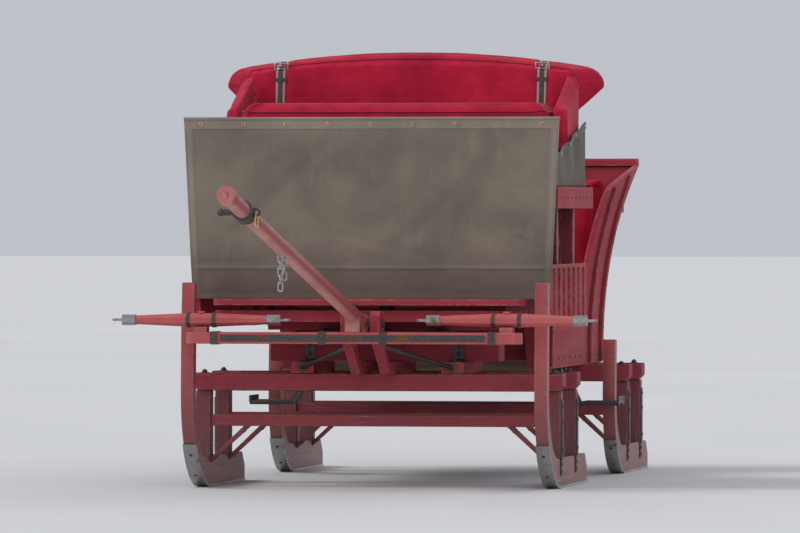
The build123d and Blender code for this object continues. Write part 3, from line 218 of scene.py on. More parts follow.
def painted_wood(name, axis, light, dark, painted_shade=None, gloss=0.4):
    """Old oil paint on timber: brush streaks along the grain, chipped edges, dirt low down, and
    painted shade with grime in corners.

    With a painted shade colour, the faces that turn up and towards +X are painted darker and the
    faces towards -X and down keep the lighter colour, as painted light from one side.
    """
    g = Graph(name)
    streaks = g.noise(2.2, 5.0, 0.6, place=g.scaled(GRAIN[axis]))
    patches = g.noise(3.0)
    color = g.between(patches, 0.3, 0.7, light, dark)
    color = g.between(streaks, 0.35, 0.75, color, dark, 0.45)
    chips = g.noise(38.0, 6.0, 0.65)
    edge = g.edges(0.009, 0.93, 0.995)
    worn = g.ramp(g.times(edge, g.ramp(chips, 0.44, 0.6)), 0.18, 0.45)
    wood = g.between(streaks, 0.3, 0.7, rgb(0.36, 0.25, 0.17), rgb(0.2, 0.12, 0.08))
    scratches = g.noise(2.0, 3.0, place=g.scaled([value * 3 for value in GRAIN[axis]]))
    scuffed = g.times(g.ramp(scratches, 0.7, 0.74), g.ramp(patches, 0.5, 0.62))
    bare = g.maths("MAXIMUM", worn, g.times(scuffed, 0.6))
    color = g.mix(bare, color, wood)
    bleached = g.noise(1.3, 3.0)
    color = g.between(bleached, 0.45, 0.72, color, toned(light, plus=0.05), 0.3)
    if painted_shade:
        # Painted shade: faces turned away from one side take the darker colour.
        color = g.between(g.dot(g.facing, PAINTED_LIGHT_FROM), 0.15, -0.35, color, painted_shade, 0.9)
    # Painted shade with grime: darker deep in corners between faces, found by ambient occlusion.
    corner_shade_and_grime = g.times(g.corners(0.07), g.ramp(chips, 0.3, 0.6, 0.5, 1.0))
    color = g.mix(corner_shade_and_grime, color, SHADE_AND_GRIME)
    low = g.ramp(g.maths("ADD", g.axes()[2], g.times(chips, 0.16)), 0.72, 0.14)
    color = g.mix(g.times(low, 0.62), color, ROAD_DIRT)
    salt = g.times(g.ramp(scratches, 0.62, 0.7), g.ramp(low, 0.25, 0.9))
    color = g.mix(g.times(salt, 0.5), color, SALT)
    rough = g.ramp(streaks, 0.2, 0.8, 0.66 - 0.7 * gloss, 0.82 - 0.55 * gloss)
    g.bump([(streaks, 0.0012, 0.35), (chips, 0.0008, 0.25), (bare, 0.0006, -0.6)])
    return g.finish(color=color, rough=rough, coat=0.15 * gloss, coat_rough=0.35, specular=gloss)


def bare_wood(name, axis):
    """Weathered boards."""
    g = Graph(name)
    along = g.scaled(GRAIN[axis])
    grain = g.noise(3.0, 8.0, 0.65, 0.4, along)
    fine = g.noise(14.0, place=along)
    patches = g.noise(4.0, 3.0)
    color = g.between(grain, 0.3, 0.7, rgb(0.33, 0.25, 0.18), rgb(0.13, 0.085, 0.055))
    color = g.between(patches, 0.45, 0.75, color, rgb(0.24, 0.22, 0.2), 0.5)
    g.bump([(grain, 0.0016, 0.5), (fine, 0.0006, 0.4)])
    return g.finish(color=color, rough=g.ramp(fine, 0.2, 0.8, 0.6, 0.85))


def iron(name, color, rust, polish):
    """Forged iron or steel with rust in patches."""
    g = Graph(name)
    patches = g.noise(14.0, 6.0, 0.6)
    pits = g.noise(160.0, 3.0)
    rusty = g.ramp(patches, 0.62 - rust, 0.72 - rust * 0.6)
    base = g.between(pits, 0.3, 0.7, color, toned(color, 0.6))
    orange = g.between(pits, 0.3, 0.7, rgb(0.2, 0.085, 0.035), rgb(0.09, 0.04, 0.025))
    g.bump([(patches, 0.0008, 0.4), (pits, 0.0003, 0.4)])
    return g.finish(
        color=g.mix(rusty, base, orange),
        metal=g.ramp(rusty, 0.0, 1.0, 0.85, 0.1),
        rough=g.ramp(rusty, 0.0, 1.0, polish, 0.85),
    )


def brass(name):
    """Dull brass, brown where it is tarnished."""
    g = Graph(name)
    tarnish = g.noise(60.0, 5.0)
    color = g.between(tarnish, 0.35, 0.7, rgb(0.72, 0.5, 0.22), rgb(0.3, 0.2, 0.1))
    g.bump([(tarnish, 0.0004, 0.3)])
    return g.finish(color=color, metal=0.95, rough=g.ramp(tarnish, 0.3, 0.7, 0.25, 0.5))


def weave(g, pitch):
    """Threads over and under each other, the same from every side."""
    x, y, z = (g.maths("SINE", g.times(axis, 2 * math.pi / pitch)) for axis in g.axes())
    return g.ramp(g.maths("ADD", g.maths("ADD", x, y), z), -2.0, 2.0)


def cloth(name, light, dark, pitch, fuzz):
    """Woven upholstery cloth, faded in patches."""
    g = Graph(name)
    threads = weave(g, pitch)
    fading = g.noise(5.0, 5.0, 0.6)
    fluff = g.noise(260.0, 3.0)
    color = g.between(fading, 0.3, 0.7, light, dark)
    color = g.between(threads, 0.2, 0.8, color, toned(dark, 0.55), 0.12)
    soiled = g.noise(11.0, 6.0, 0.7)
    color = g.between(soiled, 0.52, 0.78, color, toned(dark, 0.5), 0.4)
    g.bump([(fading, 0.006, 0.25), (threads, 0.0004, 0.35), (fluff, 0.0006, 0.35)])
    rough = g.ramp(fading, 0.3, 0.7, 0.78, 0.92)
    return g.finish(color=color, rough=rough, sheen=fuzz, sheen_rough=0.45, specular=0.15)


def tarpaulin(name, light, dark):
    """Coated canvas: faint weave under a dull coat, smudged and rubbed."""
    g = Graph(name)
    threads = weave(g, 0.0028)
    smudge = g.noise(2.6, 6.0, 0.6, 0.3)
    rubs = g.noise(3.0, 5.0, 0.65, place=g.scaled((6.0, 6.0, 1.4)))
    color = g.between(smudge, 0.32, 0.68, light, dark)
    color = g.between(rubs, 0.56, 0.7, color, toned(light, 1.2), 0.3)
    color = g.between(g.axes()[2], 0.98, 0.76, color, rgb(0.075, 0.045, 0.042), 0.6)
    drops = g.noise(55.0, 2.0)
    color = g.between(drops, 0.71, 0.76, color, rgb(0.3, 0.28, 0.26), 0.35)
    g.bump([(smudge, 0.004, 0.3), (threads, 0.0005, 0.3)])
    return g.finish(color=color, rough=g.ramp(rubs, 0.3, 0.7, 0.6, 0.8), specular=0.2)


def leather(name):
    """Black harness leather with a fine grain."""
    g = Graph(name)
    grain = g.node("ShaderNodeTexVoronoi", {"Vector": g.place, "Scale": 420.0})
    wear = g.noise(30.0, 5.0)
    color = g.between(wear, 0.4, 0.7, rgb(0.03, 0.026, 0.024), rgb(0.075, 0.06, 0.05))
    g.bump([(grain.outputs["Distance"], 0.0004, 0.5)])
    return g.finish(color=color, rough=g.ramp(wear, 0.3, 0.7, 0.45, 0.65))


RED_LIGHT, RED_DARK = rgb(0.44, 0.052, 0.075), rgb(0.27, 0.024, 0.042)
RED = {
    axis: painted_wood(f"red_paint_{axis}", axis, RED_LIGHT, RED_DARK, gloss=0.1) for axis in "xyz"
}
MAROON = painted_wood(
    "maroon_paint", "z", rgb(0.27, 0.04, 0.06), rgb(0.15, 0.02, 0.035), gloss=0.25
)
# The pole's paint is faded pink, with painted shade on the faces that turn up and towards +X.
PALE_WITH_PAINTED_SHADE = painted_wood(
    "faded_paint_painted_shade", "y", rgb(0.6, 0.27, 0.23), rgb(0.42, 0.13, 0.12), painted_shade=rgb(0.27, 0.035, 0.04)
)
BRIGHT = painted_wood("bright_paint", "x", rgb(0.56, 0.1, 0.095), rgb(0.38, 0.05, 0.06))
NOSE = painted_wood("runner_paint", "y", rgb(0.46, 0.078, 0.078), rgb(0.29, 0.038, 0.046))
BOARDS = bare_wood("deck_wood_x", "x")
IRON = iron("dark_iron", rgb(0.1, 0.095, 0.095), 0.1, 0.5)
STEEL = iron("runner_steel", rgb(0.42, 0.41, 0.4), 0.06, 0.34)
BRASS = brass("brass")
FABRIC = cloth("red_fabric", rgb(0.55, 0.014, 0.05), rgb(0.29, 0.006, 0.026), 0.004, 0.06)
PIPING = cloth("red_piping", rgb(0.3, 0.012, 0.04), rgb(0.2, 0.008, 0.03), 0.003, 0.4)
TARP = tarpaulin("tarp_grey", rgb(0.232, 0.191, 0.15), rgb(0.132, 0.108, 0.086))
# A lighter copy of the tarp for the hems and the top roll, as a painted highlight on the apron's
# edges.
HEM_PAINTED_HIGHLIGHT = tarpaulin("tarp_hem_painted_highlight", rgb(0.29, 0.245, 0.2), rgb(0.18, 0.15, 0.125))
# A darker copy of the tarp for the side curtains, as painted shade on the sleigh's sides.
CURTAIN_PAINTED_SHADE = tarpaulin("tarp_curtain_painted_shade", rgb(0.15, 0.125, 0.1), rgb(0.09, 0.075, 0.06))
STRAP = leather("strap_black")
THREAD = cloth("pale_thread", rgb(0.5, 0.36, 0.34), rgb(0.34, 0.2, 0.19), 0.002, 0.2)
# The slot that each material of a new piece stands for
SLOTS = {
    "red_paint": (*RED.values(), PALE_WITH_PAINTED_SHADE),
    "deck_wood": (BOARDS,),
    "dark_iron": (IRON,),
    "runner_steel": (STEEL,),
    "brass": (BRASS,),
    "red_fabric": (FABRIC, PIPING),
    "tarp_grey": (TARP, HEM_PAINTED_HIGHLIGHT, CURTAIN_PAINTED_SHADE),
    "strap_black": (STRAP, THREAD),
}
SLOT_OF = {material.name: slot for slot, group in SLOTS.items() for material in group}
# CAD nodes that show, by material
SHOWN = (
    (RED["x"], "cross_beams front_ledge dash_rails driver_deck driver_seat_box bench_boxes"),
    (RED["x"], "tub_front_panel tub_rear_panel tub_rear_rail rear_top_beams rear_lower_bars"),
    (RED["x"], "front_top_beams front_lower_bars front_bolster"),
    (RED["y"], "sills lower_panels tub_sides front_sleepers futchells"),
    (MAROON, "dash_posts deck_posts rear_posts front_posts"),
    (NOSE, "front_runners rear_runners"),
    (PALE_WITH_PAINTED_SHADE, "pole_shaft pole_cap"),
    (BRIGHT, "evener_bar swingletree_left swingletree_right"),
    (IRON, "turntable_upper turntable_lower kingpin steps backrest_irons futchell_stays"),
    (IRON, "pole_pin pole_irons evener_bolt"),
    (STEEL, "rear_shoes front_shoes swingletree_irons_left swingletree_irons_right"),
    (BOARDS, "front_floor bench_floors footwell"),
)
WELD = 0.00002
TIMBER_EDGE, IRON_EDGE, THIN_EDGE = 0.003, 0.001, 0.0008


def soften(piece, width):
    """Edges rounded a little, so that they catch the light."""
    bevel = piece.modifiers.new("soften", "BEVEL")
    bevel.width = width
    bevel.segments = 2
    bevel.limit_method = "ANGLE"
    bevel.angle_limit = math.radians(40)
    bevel.harden_normals = True


for material, names in SHOWN:
    for name in names.split():
        node = nodes[name]
        node.data.materials.clear()
        node.data.materials.append(material)
        node.modifiers.new("weld", "WELD").merge_threshold = WELD
        soften(node, IRON_EDGE if material in (IRON, STEEL) else TIMBER_EDGE)

# Soft pieces


def add_object(name, mesh, material, body="sleigh_body", slot=None, smooth=True):
    """A new piece that rides on a body."""
    piece = linked(name, mesh)
    mesh.materials.append(material)
    for face in mesh.polygons:
        face.use_smooth = smooth
    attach(piece, body)
    slot or SLOT_OF[material.name]
    return piece


def from_bmesh(work, name):
    """A mesh made of what was gathered."""
    mesh = bpy.data.meshes.new(name)
    work.to_mesh(mesh)
    work.free()
    return mesh


def applied(piece):
    """The piece's mesh with its modifiers applied."""
    graph = bpy.context.evaluated_depsgraph_get()
    return bpy.data.meshes.new_from_object(piece.evaluated_get(graph))


FRAMES, PRESSURE = 18, 4.0


def swell(piece, resting, cap):
    """Blow a piece up as cloth; the points that resting() picks stay where they are."""
    pins = piece.vertex_groups.new(name="pins")
    pins.add([v.index for v in piece.data.vertices if resting(v.co)], 1.0, "REPLACE")
    start = [v.co.copy() for v in piece.data.vertices]
    cloth_modifier = piece.modifiers.new("cloth", "CLOTH")
    settings = cloth_modifier.settings
    settings.quality = 5
    settings.mass = 0.3
    settings.tension_stiffness = settings.compression_stiffness = 12
    settings.shear_stiffness = 4
    settings.bending_stiffness = 0.4
    settings.use_pressure = True
    settings.uniform_pressure_force = PRESSURE
    settings.vertex_group_mass = "pins"
    settings.effector_weights.gravity = 0
    cloth_modifier.collision_settings.use_self_collision = False
    cloth_modifier.point_cache.frame_start = 1
    cloth_modifier.point_cache.frame_end = FRAMES
    for number in range(1, FRAMES + 1):
        bpy.context.scene.frame_set(number)
    mesh = applied(piece)
    for vertex, origin in zip(mesh.vertices, start):
        move = vertex.co - origin
        if move.length > cap:
            vertex.co = origin + move * (cap / move.length)
    piece.modifiers.clear()
    piece.vertex_groups.clear()
    bpy.context.scene.frame_set(1)
    return mesh


def stuffed(name, node, resting, voxel, cap=0.016, shape=None, shrink=0.006):
    """A stuffed piece blown up from a CAD solid, which it replaces.

    It is drawn in by shrink first, and a point then moves out by no more than cap.
    """
    work = bmesh.new()
    work.from_mesh(nodes[node].data)
    bmesh.ops.remove_doubles(work, verts=work.verts, dist=WELD)
    bmesh.ops.recalc_face_normals(work, faces=work.faces)
    for vertex in work.verts:
        vertex.co -= vertex.normal * (0 if resting(vertex.co) else shrink)
    bare = linked(name + "_bare", from_bmesh(work, name + "_bare"))
    remesh = bare.modifiers.new("remesh", "REMESH")
    remesh.mode = "VOXEL"
    remesh.voxel_size = voxel
    mesh = applied(bare)
    bare.modifiers.clear()
    bare.data = mesh
    mesh = swell(bare, resting, cap)
    bpy.data.objects.remove(bare)
    if shape:
        for vertex in mesh.vertices:
            vertex.co += shape(vertex.co)
    piece = add_object(name, mesh, FABRIC)
    smooth = piece.modifiers.new("smooth", "SUBSURF")
    smooth.levels = smooth.render_levels = 1
    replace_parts(piece, node)
    return piece


def surface(piece):
    """A piece's own faces as a tree for rays, to lay a seam or strap on."""
    work = bmesh.new()
    work.from_mesh(applied(piece))
    tree = BVHTree.FromBMesh(work)
    work.free()
    return tree


def even(points, step, closed=False):
    """Points an even step apart along a line of corners."""
    corners = [Vector(point) for point in points]
    if closed:
        corners.append(corners[0])
    made = []
    for start, end in zip(corners, corners[1:]):
        count = max(1, round((end - start).length / step))
        made += [start.lerp(end, index / count) for index in range(count)]
    if not closed:
        made.append(corners[-1])
    return made


def laid(tree, points, out=0.0):
    """Points moved to the nearest place on a surface, and out from it."""
    made = []
    for point in points:
        place, normal, _, _ = tree.find_nearest(point)
        made.append(place + normal * out)
    return made


def settle(points, rounds, closed=False):
    """Points drawn a little towards their neighbours, so that a line runs smoothly."""
    for _ in range(rounds):
        count = len(points)
        made = []
        for index, point in enumerate(points):
            if not closed and index in (0, count - 1):
                made.append(point)
            else:
                made.append((points[index - 1] + points[(index + 1) % count]) / 4 + point / 2)
        points = made
    return points


class Solid:
    """Gathers simple forms into one mesh."""

    def __init__(self):
        self.work = bmesh.new()

    def ring(self, *form):
        return [self.work.verts.new(point) for point in circle(*form)]

    def bridge(self, first, second):
        """Faces from one ring to another."""
        for index in range(len(first)):
            after = (index + 1) % len(first)
            self.work.faces.new((first[index], first[after], second[after], second[index]))

    def skin(self, rings, capped=True):
        """Faces from each ring to the next, and over both ends."""
        for first, second in zip(rings, rings[1:]):
            self.bridge(first, second)
        if capped:
            self.work.faces.new(rings[0][::-1])
            self.work.faces.new(rings[-1])

    def tube(self, points, radius, closed=False, count=8):
        """A round bar along a line of points."""
        total = len(points)
        rings = []
        up = None
        for index, point in enumerate(points):
            before = points[index - 1] if index or closed else point
            after = points[(index + 1) % total] if index < total - 1 or closed else point
            along = (after - before).normalized()
            across = square_to(along) if up is None else along.cross(up).normalized()
            up = across.cross(along).normalized()
            rings.append(self.ring(point, across, up, radius, count))
        self.skin(rings, not closed)
        if closed:
            # The last ring may be turned against the first, so it joins where it is nearest.
            last, first = rings[-1], rings[0]
            turned = [first[shift:] + first[:shift] for shift in range(count)]
            gaps = [sum((a.co - b.co).length for a, b in zip(last, ring)) for ring in turned]
            self.bridge(last, turned[gaps.index(min(gaps))])

    def lathe(self, centre, axis, profile, count=16, turn=0.0):
        """A turned form: pairs of distance along the axis and radius."""
        axis = axis.normalized()
        across = square_to(axis)
        up = axis.cross(across).normalized()
        rings = []
        for along, radius in profile:
            place = centre + axis * along
            if radius == 0:
                rings.append([self.work.verts.new(place)])
            else:
                rings.append(self.ring(place, across, up, radius, count, turn))
        for first, second in zip(rings, rings[1:]):
            if len(first) == 1 or len(second) == 1:
                (point,), rim = (first, second) if len(first) == 1 else (second, first)
                for index in range(count):
                    self.work.faces.new((point, rim[index], rim[(index + 1) % count]))
            else:
                self.bridge(first, second)
        for rim in (rings[0], rings[-1]):
            if len(rim) > 1:
                self.work.faces.new(rim)

    def dome(self, centre, axis, radius, high=0.45):
        """A carriage bolt's head."""
        steps = [(0, 1.0), (0.35, 0.94), (0.7, 0.7), (0.92, 0.38), (1, 0)]
        profile = [(high * radius * along, radius * out) for along, out in steps]
        self.lathe(centre, axis, profile, 12)

    def domes(self, places, axis, radius, high=0.45):
        for place in places:
            self.dome(place, axis, radius, high)

    def both_sides(self, x, places, radius, high=0.45):
        """Domes on the left and right, at places given by distance back and height."""
        for side in (1, -1):
            line = [at(side * x, distance, z) for distance, z in places]
            self.domes(line, SIDEWAYS * side, radius, high)

    def nut(self, centre, axis, radius):
        """A hexagon nut on its washer, with the bolt's end."""
        self.lathe(centre, axis, [(0, radius * 1.5), (radius * 0.22, radius * 1.5)], 16)
        self.lathe(centre, axis, [(0, radius), (radius * 0.9, radius), (radius, radius * 0.88)], 6)
        end = [(0, radius * 0.5), (radius * 1.25, radius * 0.5), (radius * 1.35, radius * 0.4)]
        self.lathe(centre, axis, end, 12)

    def slab(self, low, high):
        """A box between two corners."""
        matrix = Matrix.Translation((low + high) / 2) @ Matrix.Diagonal((*((high - low) / 2), 1))
        bmesh.ops.create_cube(self.work, size=2, matrix=matrix)

    def plate(self, x, distances, z):
        """A flat bar between two limits each way."""
        self.slab(*(at(pick(x), pick(distances), pick(z)) for pick in (min, max)))

    def strip(self, points, side, wide, thick):
        """A flat band along a line of points; side is the way across it."""
        total = len(points)
        rings = []
        for index, point in enumerate(points):
            along = (points[min(index + 1, total - 1)] - points[max(index - 1, 0)]).normalized()
            across = (side - along * side.dot(along)).normalized()
            face = across.cross(along).normalized()
            corners = [
                point + across * (u * wide / 2) + face * (v * thick / 2)
                for u, v in ((1, 1), (-1, 1), (-1, -1), (1, -1))
            ]
            rings.append([self.work.verts.new(corner) for corner in corners])
        self.skin(rings)

    def piece(self, name, material, body="sleigh_body", slot=None, bevel=0.0, smooth=True):
        """What was gathered, as a piece that rides on a body."""
        bmesh.ops.recalc_face_normals(self.work, faces=self.work.faces)
        mesh = from_bmesh(self.work, name)
        made = add_object(name, mesh, material, body, slot, smooth)
        if bevel:
            soften(made, bevel)
        return made


SEAM = 0.0042


def piping(piece, name, loops):
    """Piped seams laid on a stuffed piece, as closed lines."""
    tree = surface(piece)
    seams = Solid()
    for loop in loops:
        line = settle(laid(tree, even(loop, 0.02, closed=True)), 3, closed=True)
        seams.tube(laid(tree, line, SEAM * 0.3), SEAM, closed=True, count=6)
    seams.piece(name, PIPING)


def rectangle(low, high, axis, level, inset):
    """Corners of a box's outline, at a level along Y or Z."""
    made = []
    for choice in ((0, 0), (1, 0), (1, 1), (0, 1)):
        picks = zip((0, 3 - axis), choice)
        point = [high[k] - inset if pick else low[k] + inset for k, pick in picks]
        point.insert(axis, level)
        made.append(point)
    return made


REST = 0.012


def box_cushion(node, name, voxel):
    """A loose seat cushion with piping round its top and bottom faces."""
    low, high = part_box(node)
    piece = stuffed(name, node, lambda place: place.z < low.z + REST, voxel, 0.018)
    levels = (low.z + 0.016, high.z - 0.012)
    piping(piece, name + "_piping", [rectangle(low, high, 2, z, 0.008) for z in levels])


def bench_back(node, name, faces_ahead):
    """A bench's back with piping round its face, held where it leans on the tub."""
    low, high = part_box(node)

    def resting(place):
        if not faces_ahead:
            return place.y < low.y + REST
        lean = (place.z - low.z) / (high.z - low.z)
        return place.y > high.y - REST - (1 - lean) * (high.y - low.y - 0.09)

    pad = stuffed(name, node, resting, 0.011)
    face = low.y + 0.012 if faces_ahead else high.y - 0.012
    piping(pad, name + "_piping", [rectangle(low, high, 1, face, 0.01)])


box_cushion("driver_seat_cushion", "driver_cushion", 0.01)
box_cushion("bench_cushion_front", "front_bench_cushion", 0.011)
box_cushion("bench_cushion_rear", "rear_bench_cushion", 0.012)
bench_back("bench_back_front", "front_bench_back", False)
bench_back("bench_back_rear", "rear_bench_back", True)

# The driver's backrest: its ears fold back past a crease, and two straps press into it.

LEAN = math.radians(8)
HEAD_RISE = Vector((0, math.sin(LEAN), math.cos(LEAN)))
HEAD_REAR = Vector((0, math.cos(LEAN), -math.sin(LEAN)))
CREASE_FOOT, CREASE_HEAD = 0.59, 0.70
EAR_FOLD = 0.8
STRAP_X = 0.535
low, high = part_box("driver_backrest")
BACK_FOOT, BACK_HIGH = low.z, high.z - low.z
BACK_REAR = back(1.4353)


def back_rear(z):
    """Y of the backrest's rear face at a height."""
    return BACK_REAR + math.tan(LEAN) * (z - BACK_FOOT)


def backrest_shape(place):
    """How far a point of the backrest moves: the ears back, and in under the straps."""
    depth = within((back_rear(place.z) - place.y) / 0.1)
    up = (place.z - BACK_FOOT) / BACK_HIGH
    past = abs(place.x) - CREASE_FOOT - (CREASE_HEAD - CREASE_FOOT) * within((up - 0.1) / 0.7)
    fold = EAR_FOLD * max(0.0, past) * depth
    groove = 0.012 * math.exp(-((past / 0.014) ** 2)) * depth
    pressed = 0.007 * math.exp(-(((abs(place.x) - STRAP_X) / 0.028) ** 4))
    return Vector((0, fold + groove + pressed * depth, -pressed * within((up - 0.75) / 0.2)))


backrest = stuffed(
    "driver_back",
    "driver_backrest",
    lambda place: place.y > back_rear(place.z) - 0.014,
    0.01,
    shape=backrest_shape,
)
back_tree = surface(backrest)

# A welt runs up one edge, over the head and down the other, as places across and up.
SIDE_WELT = list(zip(spread(0.675, 0.595, 9), spread(0.19, 0.02, 9)))
HEAD_WELT = [(x, 0.27 - 0.045 * (x / 0.66) ** 2) for x in spread(-0.66, 0.66, 59)]
welt = [
    Vector((x, BACK_REAR - 0.1, BACK_FOOT)) + HEAD_RISE * rise
    for x, rise in [(-x, rise) for x, rise in reversed(SIDE_WELT)] + HEAD_WELT + SIDE_WELT
]
WELT = 0.0032
welts = Solid()
welts.tube(laid(back_tree, settle(laid(back_tree, even(welt, 0.02)), 3), WELT * 0.3), WELT, count=6)
welts.piece("driver_back_piping", PIPING)

stuffed(
    "driver_arm_pads",
    "driver_arms",
    lambda place: abs(place.x) < 0.645,
    0.008,
    cap=0.01,
    shrink=0.004,
)

# Straps over the backrest, each a band with a buckle on its front

STRAP_WIDE, STRAP_THICK = 0.042, 0.004
STRAP_LIFT = STRAP_THICK / 2 + 0.0005
STITCH_X = 0.0145
straps, strap_stitches, buckles = Solid(), Solid(), Solid()


def off_back(starts, along, lowest):
    """Places just off the backrest, where rays meet it above a height."""
    hits = [back_tree.ray_cast(start, along)[0] for start in starts]
    return [hit - along * STRAP_LIFT for hit in hits if hit is not None and hit.z > lowest]


for x in (STRAP_X, -STRAP_X):
    starts = [Vector((x, 0.6, low.z + 0.075 + step * 0.0088)) for step in range(26)]
    front = off_back(starts, LENGTHWAYS, low.z)
    starts = [Vector((x, front[-1].y + 0.012 + step * 0.013, 2.2)) for step in range(7)]
    line = front + off_back(starts, -UPWARDS, 1.6)
    heights = [line[-1].z - 0.012 - step * 0.0135 for step in range(24)]
    line += [Vector((x, back_rear(z) + STRAP_THICK / 2 + 0.001, z)) for z in heights]
    line = settle(line, 2)
    straps.strip(line, SIDEWAYS, STRAP_WIDE, STRAP_THICK)
    for edge in (1, -1):
        row = []
        for index, point in enumerate(line[:34]):
            out = SIDEWAYS.cross(line[index + 1] - line[max(index - 1, 0)]).normalized()
            row.append(point + out * (STRAP_THICK / 2 + 0.0002) + SIDEWAYS * (edge * STITCH_X))
        strap_stitches.strip(row, SIDEWAYS, 0.009, 0.0012)
    # A roller buckle: a bent wire frame, its tongue, and a keeper below
    keep, keeper = line[17], line[12]
    half, tall = STRAP_WIDE / 2 + 0.006, 0.022
    places = ((-half, -tall), (half, -tall), (half, tall), (-half, tall))
    corners = [keep + Vector((u, -0.005, v)) for u, v in places]
    buckles.tube(even(corners, 0.01, closed=True), 0.003, closed=True)
    buckles.tube([keep + Vector((u * half, -0.006, 0)) for u in (-1, 1)], 0.0032)
    buckles.tube([keep + Vector((0, -0.0095, 0)), keep + Vector((0, -0.0085, tall))], 0.002)
    reach = half - 0.003
    straps.slab(keeper + Vector((-reach, -0.005, -0.008)), keeper + Vector((reach, 0.0, 0.008)))
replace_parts(straps.piece("backrest_bands", STRAP, bevel=THIN_EDGE), "backrest_straps")
strap_stitches.piece("backrest_stitches", THREAD)
buckles.piece("backrest_buckles", STEEL)

# Tarpaulins

SHEET_THICK = 0.0018
APRON_FRONT = back(0.392)
APRON_LOW, APRON_HIGH = (corner.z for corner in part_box("front_apron"))
APRON_TALL = APRON_HIGH - APRON_LOW
HALF_FOOT, HALF_HEAD = 0.715, 0.75
SEAM_Z = 0.861


def hang(name, material, place, columns, rows, node):
    """A sheet that replaces a CAD node; place() takes shares of the way across and up."""
    work = bmesh.new()
    grid = [
        [work.verts.new(place(column / columns, row / rows)) for column in range(columns + 1)]
        for row in range(rows + 1)
    ]
    for first, second in zip(grid, grid[1:]):
        for index in range(columns):
            work.faces.new((first[index], first[index + 1], second[index + 1], second[index]))
    piece = add_object(name, from_bmesh(work, name), material)
    solidify = piece.modifiers.new("thick", "SOLIDIFY")
    solidify.thickness = SHEET_THICK
    solidify.offset = 0
    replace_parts(piece, node)
    return piece


def crease(x, z, foot, head, wide, deep):
    """A fold between two points of a hanging sheet, fading at its ends."""
    foot, head = Vector(foot), Vector(head)
    along = head - foot
    place = Vector((x, z)) - foot
    share = place.dot(along) / along.length_squared
    off = abs(place.x * along.y - place.y * along.x) / along.length
    fade = within(min(6 * share, 6 * (1 - share)))
    return deep * fade * math.exp(-((off / wide) ** 2))


# Each crease's foot and head across and up, how wide it is and how far it stands in
CREASES = (
    ((-0.62, 0.93), (-0.1, 1.42), 0.03, 0.005),
    ((0.05, 0.9), (0.56, 1.36), 0.035, 0.005),
    ((-0.2, 1.02), (0.32, 0.88), 0.02, 0.003),
    ((0.3, 1.4), (0.66, 1.08), 0.03, -0.004),
    ((0.613, 1.297), (0.738, 1.218), 0.008, 0.005),
    ((0.555, 1.0), (0.717, 0.923), 0.008, 0.005),
)


def apron_depth(x, z):
    """How far the apron hangs in from its front face at a place."""
    edge = min(1.0, (HALF_HEAD - abs(x)) / 0.12)
    top = min(1.0, (APRON_HIGH - z) / 0.1)
    loose = max(0.0, edge) * max(0.0, top)
    wave = noise.noise(Vector((x * 2.6, 3.0, z * 2.2))) * 0.006
    wave += 0.0022 * math.sin(x * 23 + 2.0 * noise.noise(Vector((x, 0, z)))) * (1 - top * 0.4)
    depth = 0.0045 + loose * wave
    for foot, head, wide, deep in CREASES:
        depth += crease(x, z, foot, head, wide, deep) * loose
    if z < SEAM_Z:
        depth += 0.002 + 0.02 * (SEAM_Z - z) * (1 + 0.5 * math.sin(x * 17))
    # The rails, posts and floor behind it hold the sheet forward.
    clear = min(
        abs(abs(x) - 0.664) - 0.03,
        min(abs(z - level) - 0.03 for level in (0.875, 1.43)),
        z - 0.78,
    )
    return max(0.0012, min(depth, 0.006 + 0.12 * max(0.0, clear)))


def apron_point(x, z, out):
    """A place on the apron, or out in front of it."""
    return Vector((x, APRON_FRONT + apron_depth(x, z) - out, z))


def edge_half(z):
    """Half the apron's width at a height."""
    return HALF_FOOT + (HALF_HEAD - HALF_FOOT) * (z - APRON_LOW) / APRON_TALL - 0.002


def apron_place(across, up):
    z = APRON_LOW + (APRON_TALL - 0.006) * up
    return apron_point(edge_half(z) * (2 * across - 1), z, 0)


apron = hang("apron", TARP, apron_place, 170, 82, "front_apron")

# Doubled edges at the sides, along the seam and at the foot and head
HEM_THICK = 0.0022
hems = Solid()
rows = spread(APRON_LOW + 0.004, APRON_HIGH - 0.016, 60)
for side in (1, -1):
    line = [apron_point(side * (edge_half(z) - 0.016), z, 0.0012) for z in rows]
    hems.strip(line, SIDEWAYS, 0.032, HEM_THICK)
columns = spread(-1, 1, 140)
for z, wide in ((SEAM_Z + 0.012, 0.022), (APRON_LOW + 0.014, 0.026), (APRON_HIGH - 0.03, 0.034)):
    half = edge_half(z) - 0.002
    line = [apron_point(share * half, z, 0.0014) for share in columns]
    hems.strip(line, UPWARDS, wide, HEM_THICK)
# The hems take the lighter tarp, a painted highlight.
hem_piece = hems.piece("apron_hems", HEM_PAINTED_HIGHLIGHT, bevel=0.0005)

# The top edge is rolled round a cord, and eyelets tie it to the rail.
roll = Solid()
line = [apron_point(share * 0.748, APRON_HIGH - 0.0075, -0.0015) for share in columns]
roll.tube(line, 0.0072, count=10)
# The roll takes the lighter tarp, a painted highlight along the top edge.
roll_piece = roll.piece("apron_roll", HEM_PAINTED_HIGHLIGHT)
eyelets = Solid()
for x in spread(-0.68, 0.68, 8):
    place = apron_point(x, APRON_HIGH - 0.03, 0.0028)
    eyelets.tube(circle(place, SIDEWAYS, UPWARDS, 0.0075, 14), 0.0022, closed=True, count=6)
eyelets.piece("apron_eyelets", BRASS)

STITCH_LONG, STITCH_STEP = 0.006, 0.01
stitches = Solid()


def stitch_row(place, count):
    """Short raised stitches along a line given by distance."""
    for index in range(count):
        start = index * STITCH_STEP
        stitches.tube([place(start), place(start + STITCH_LONG)], 0.0006, count=4)


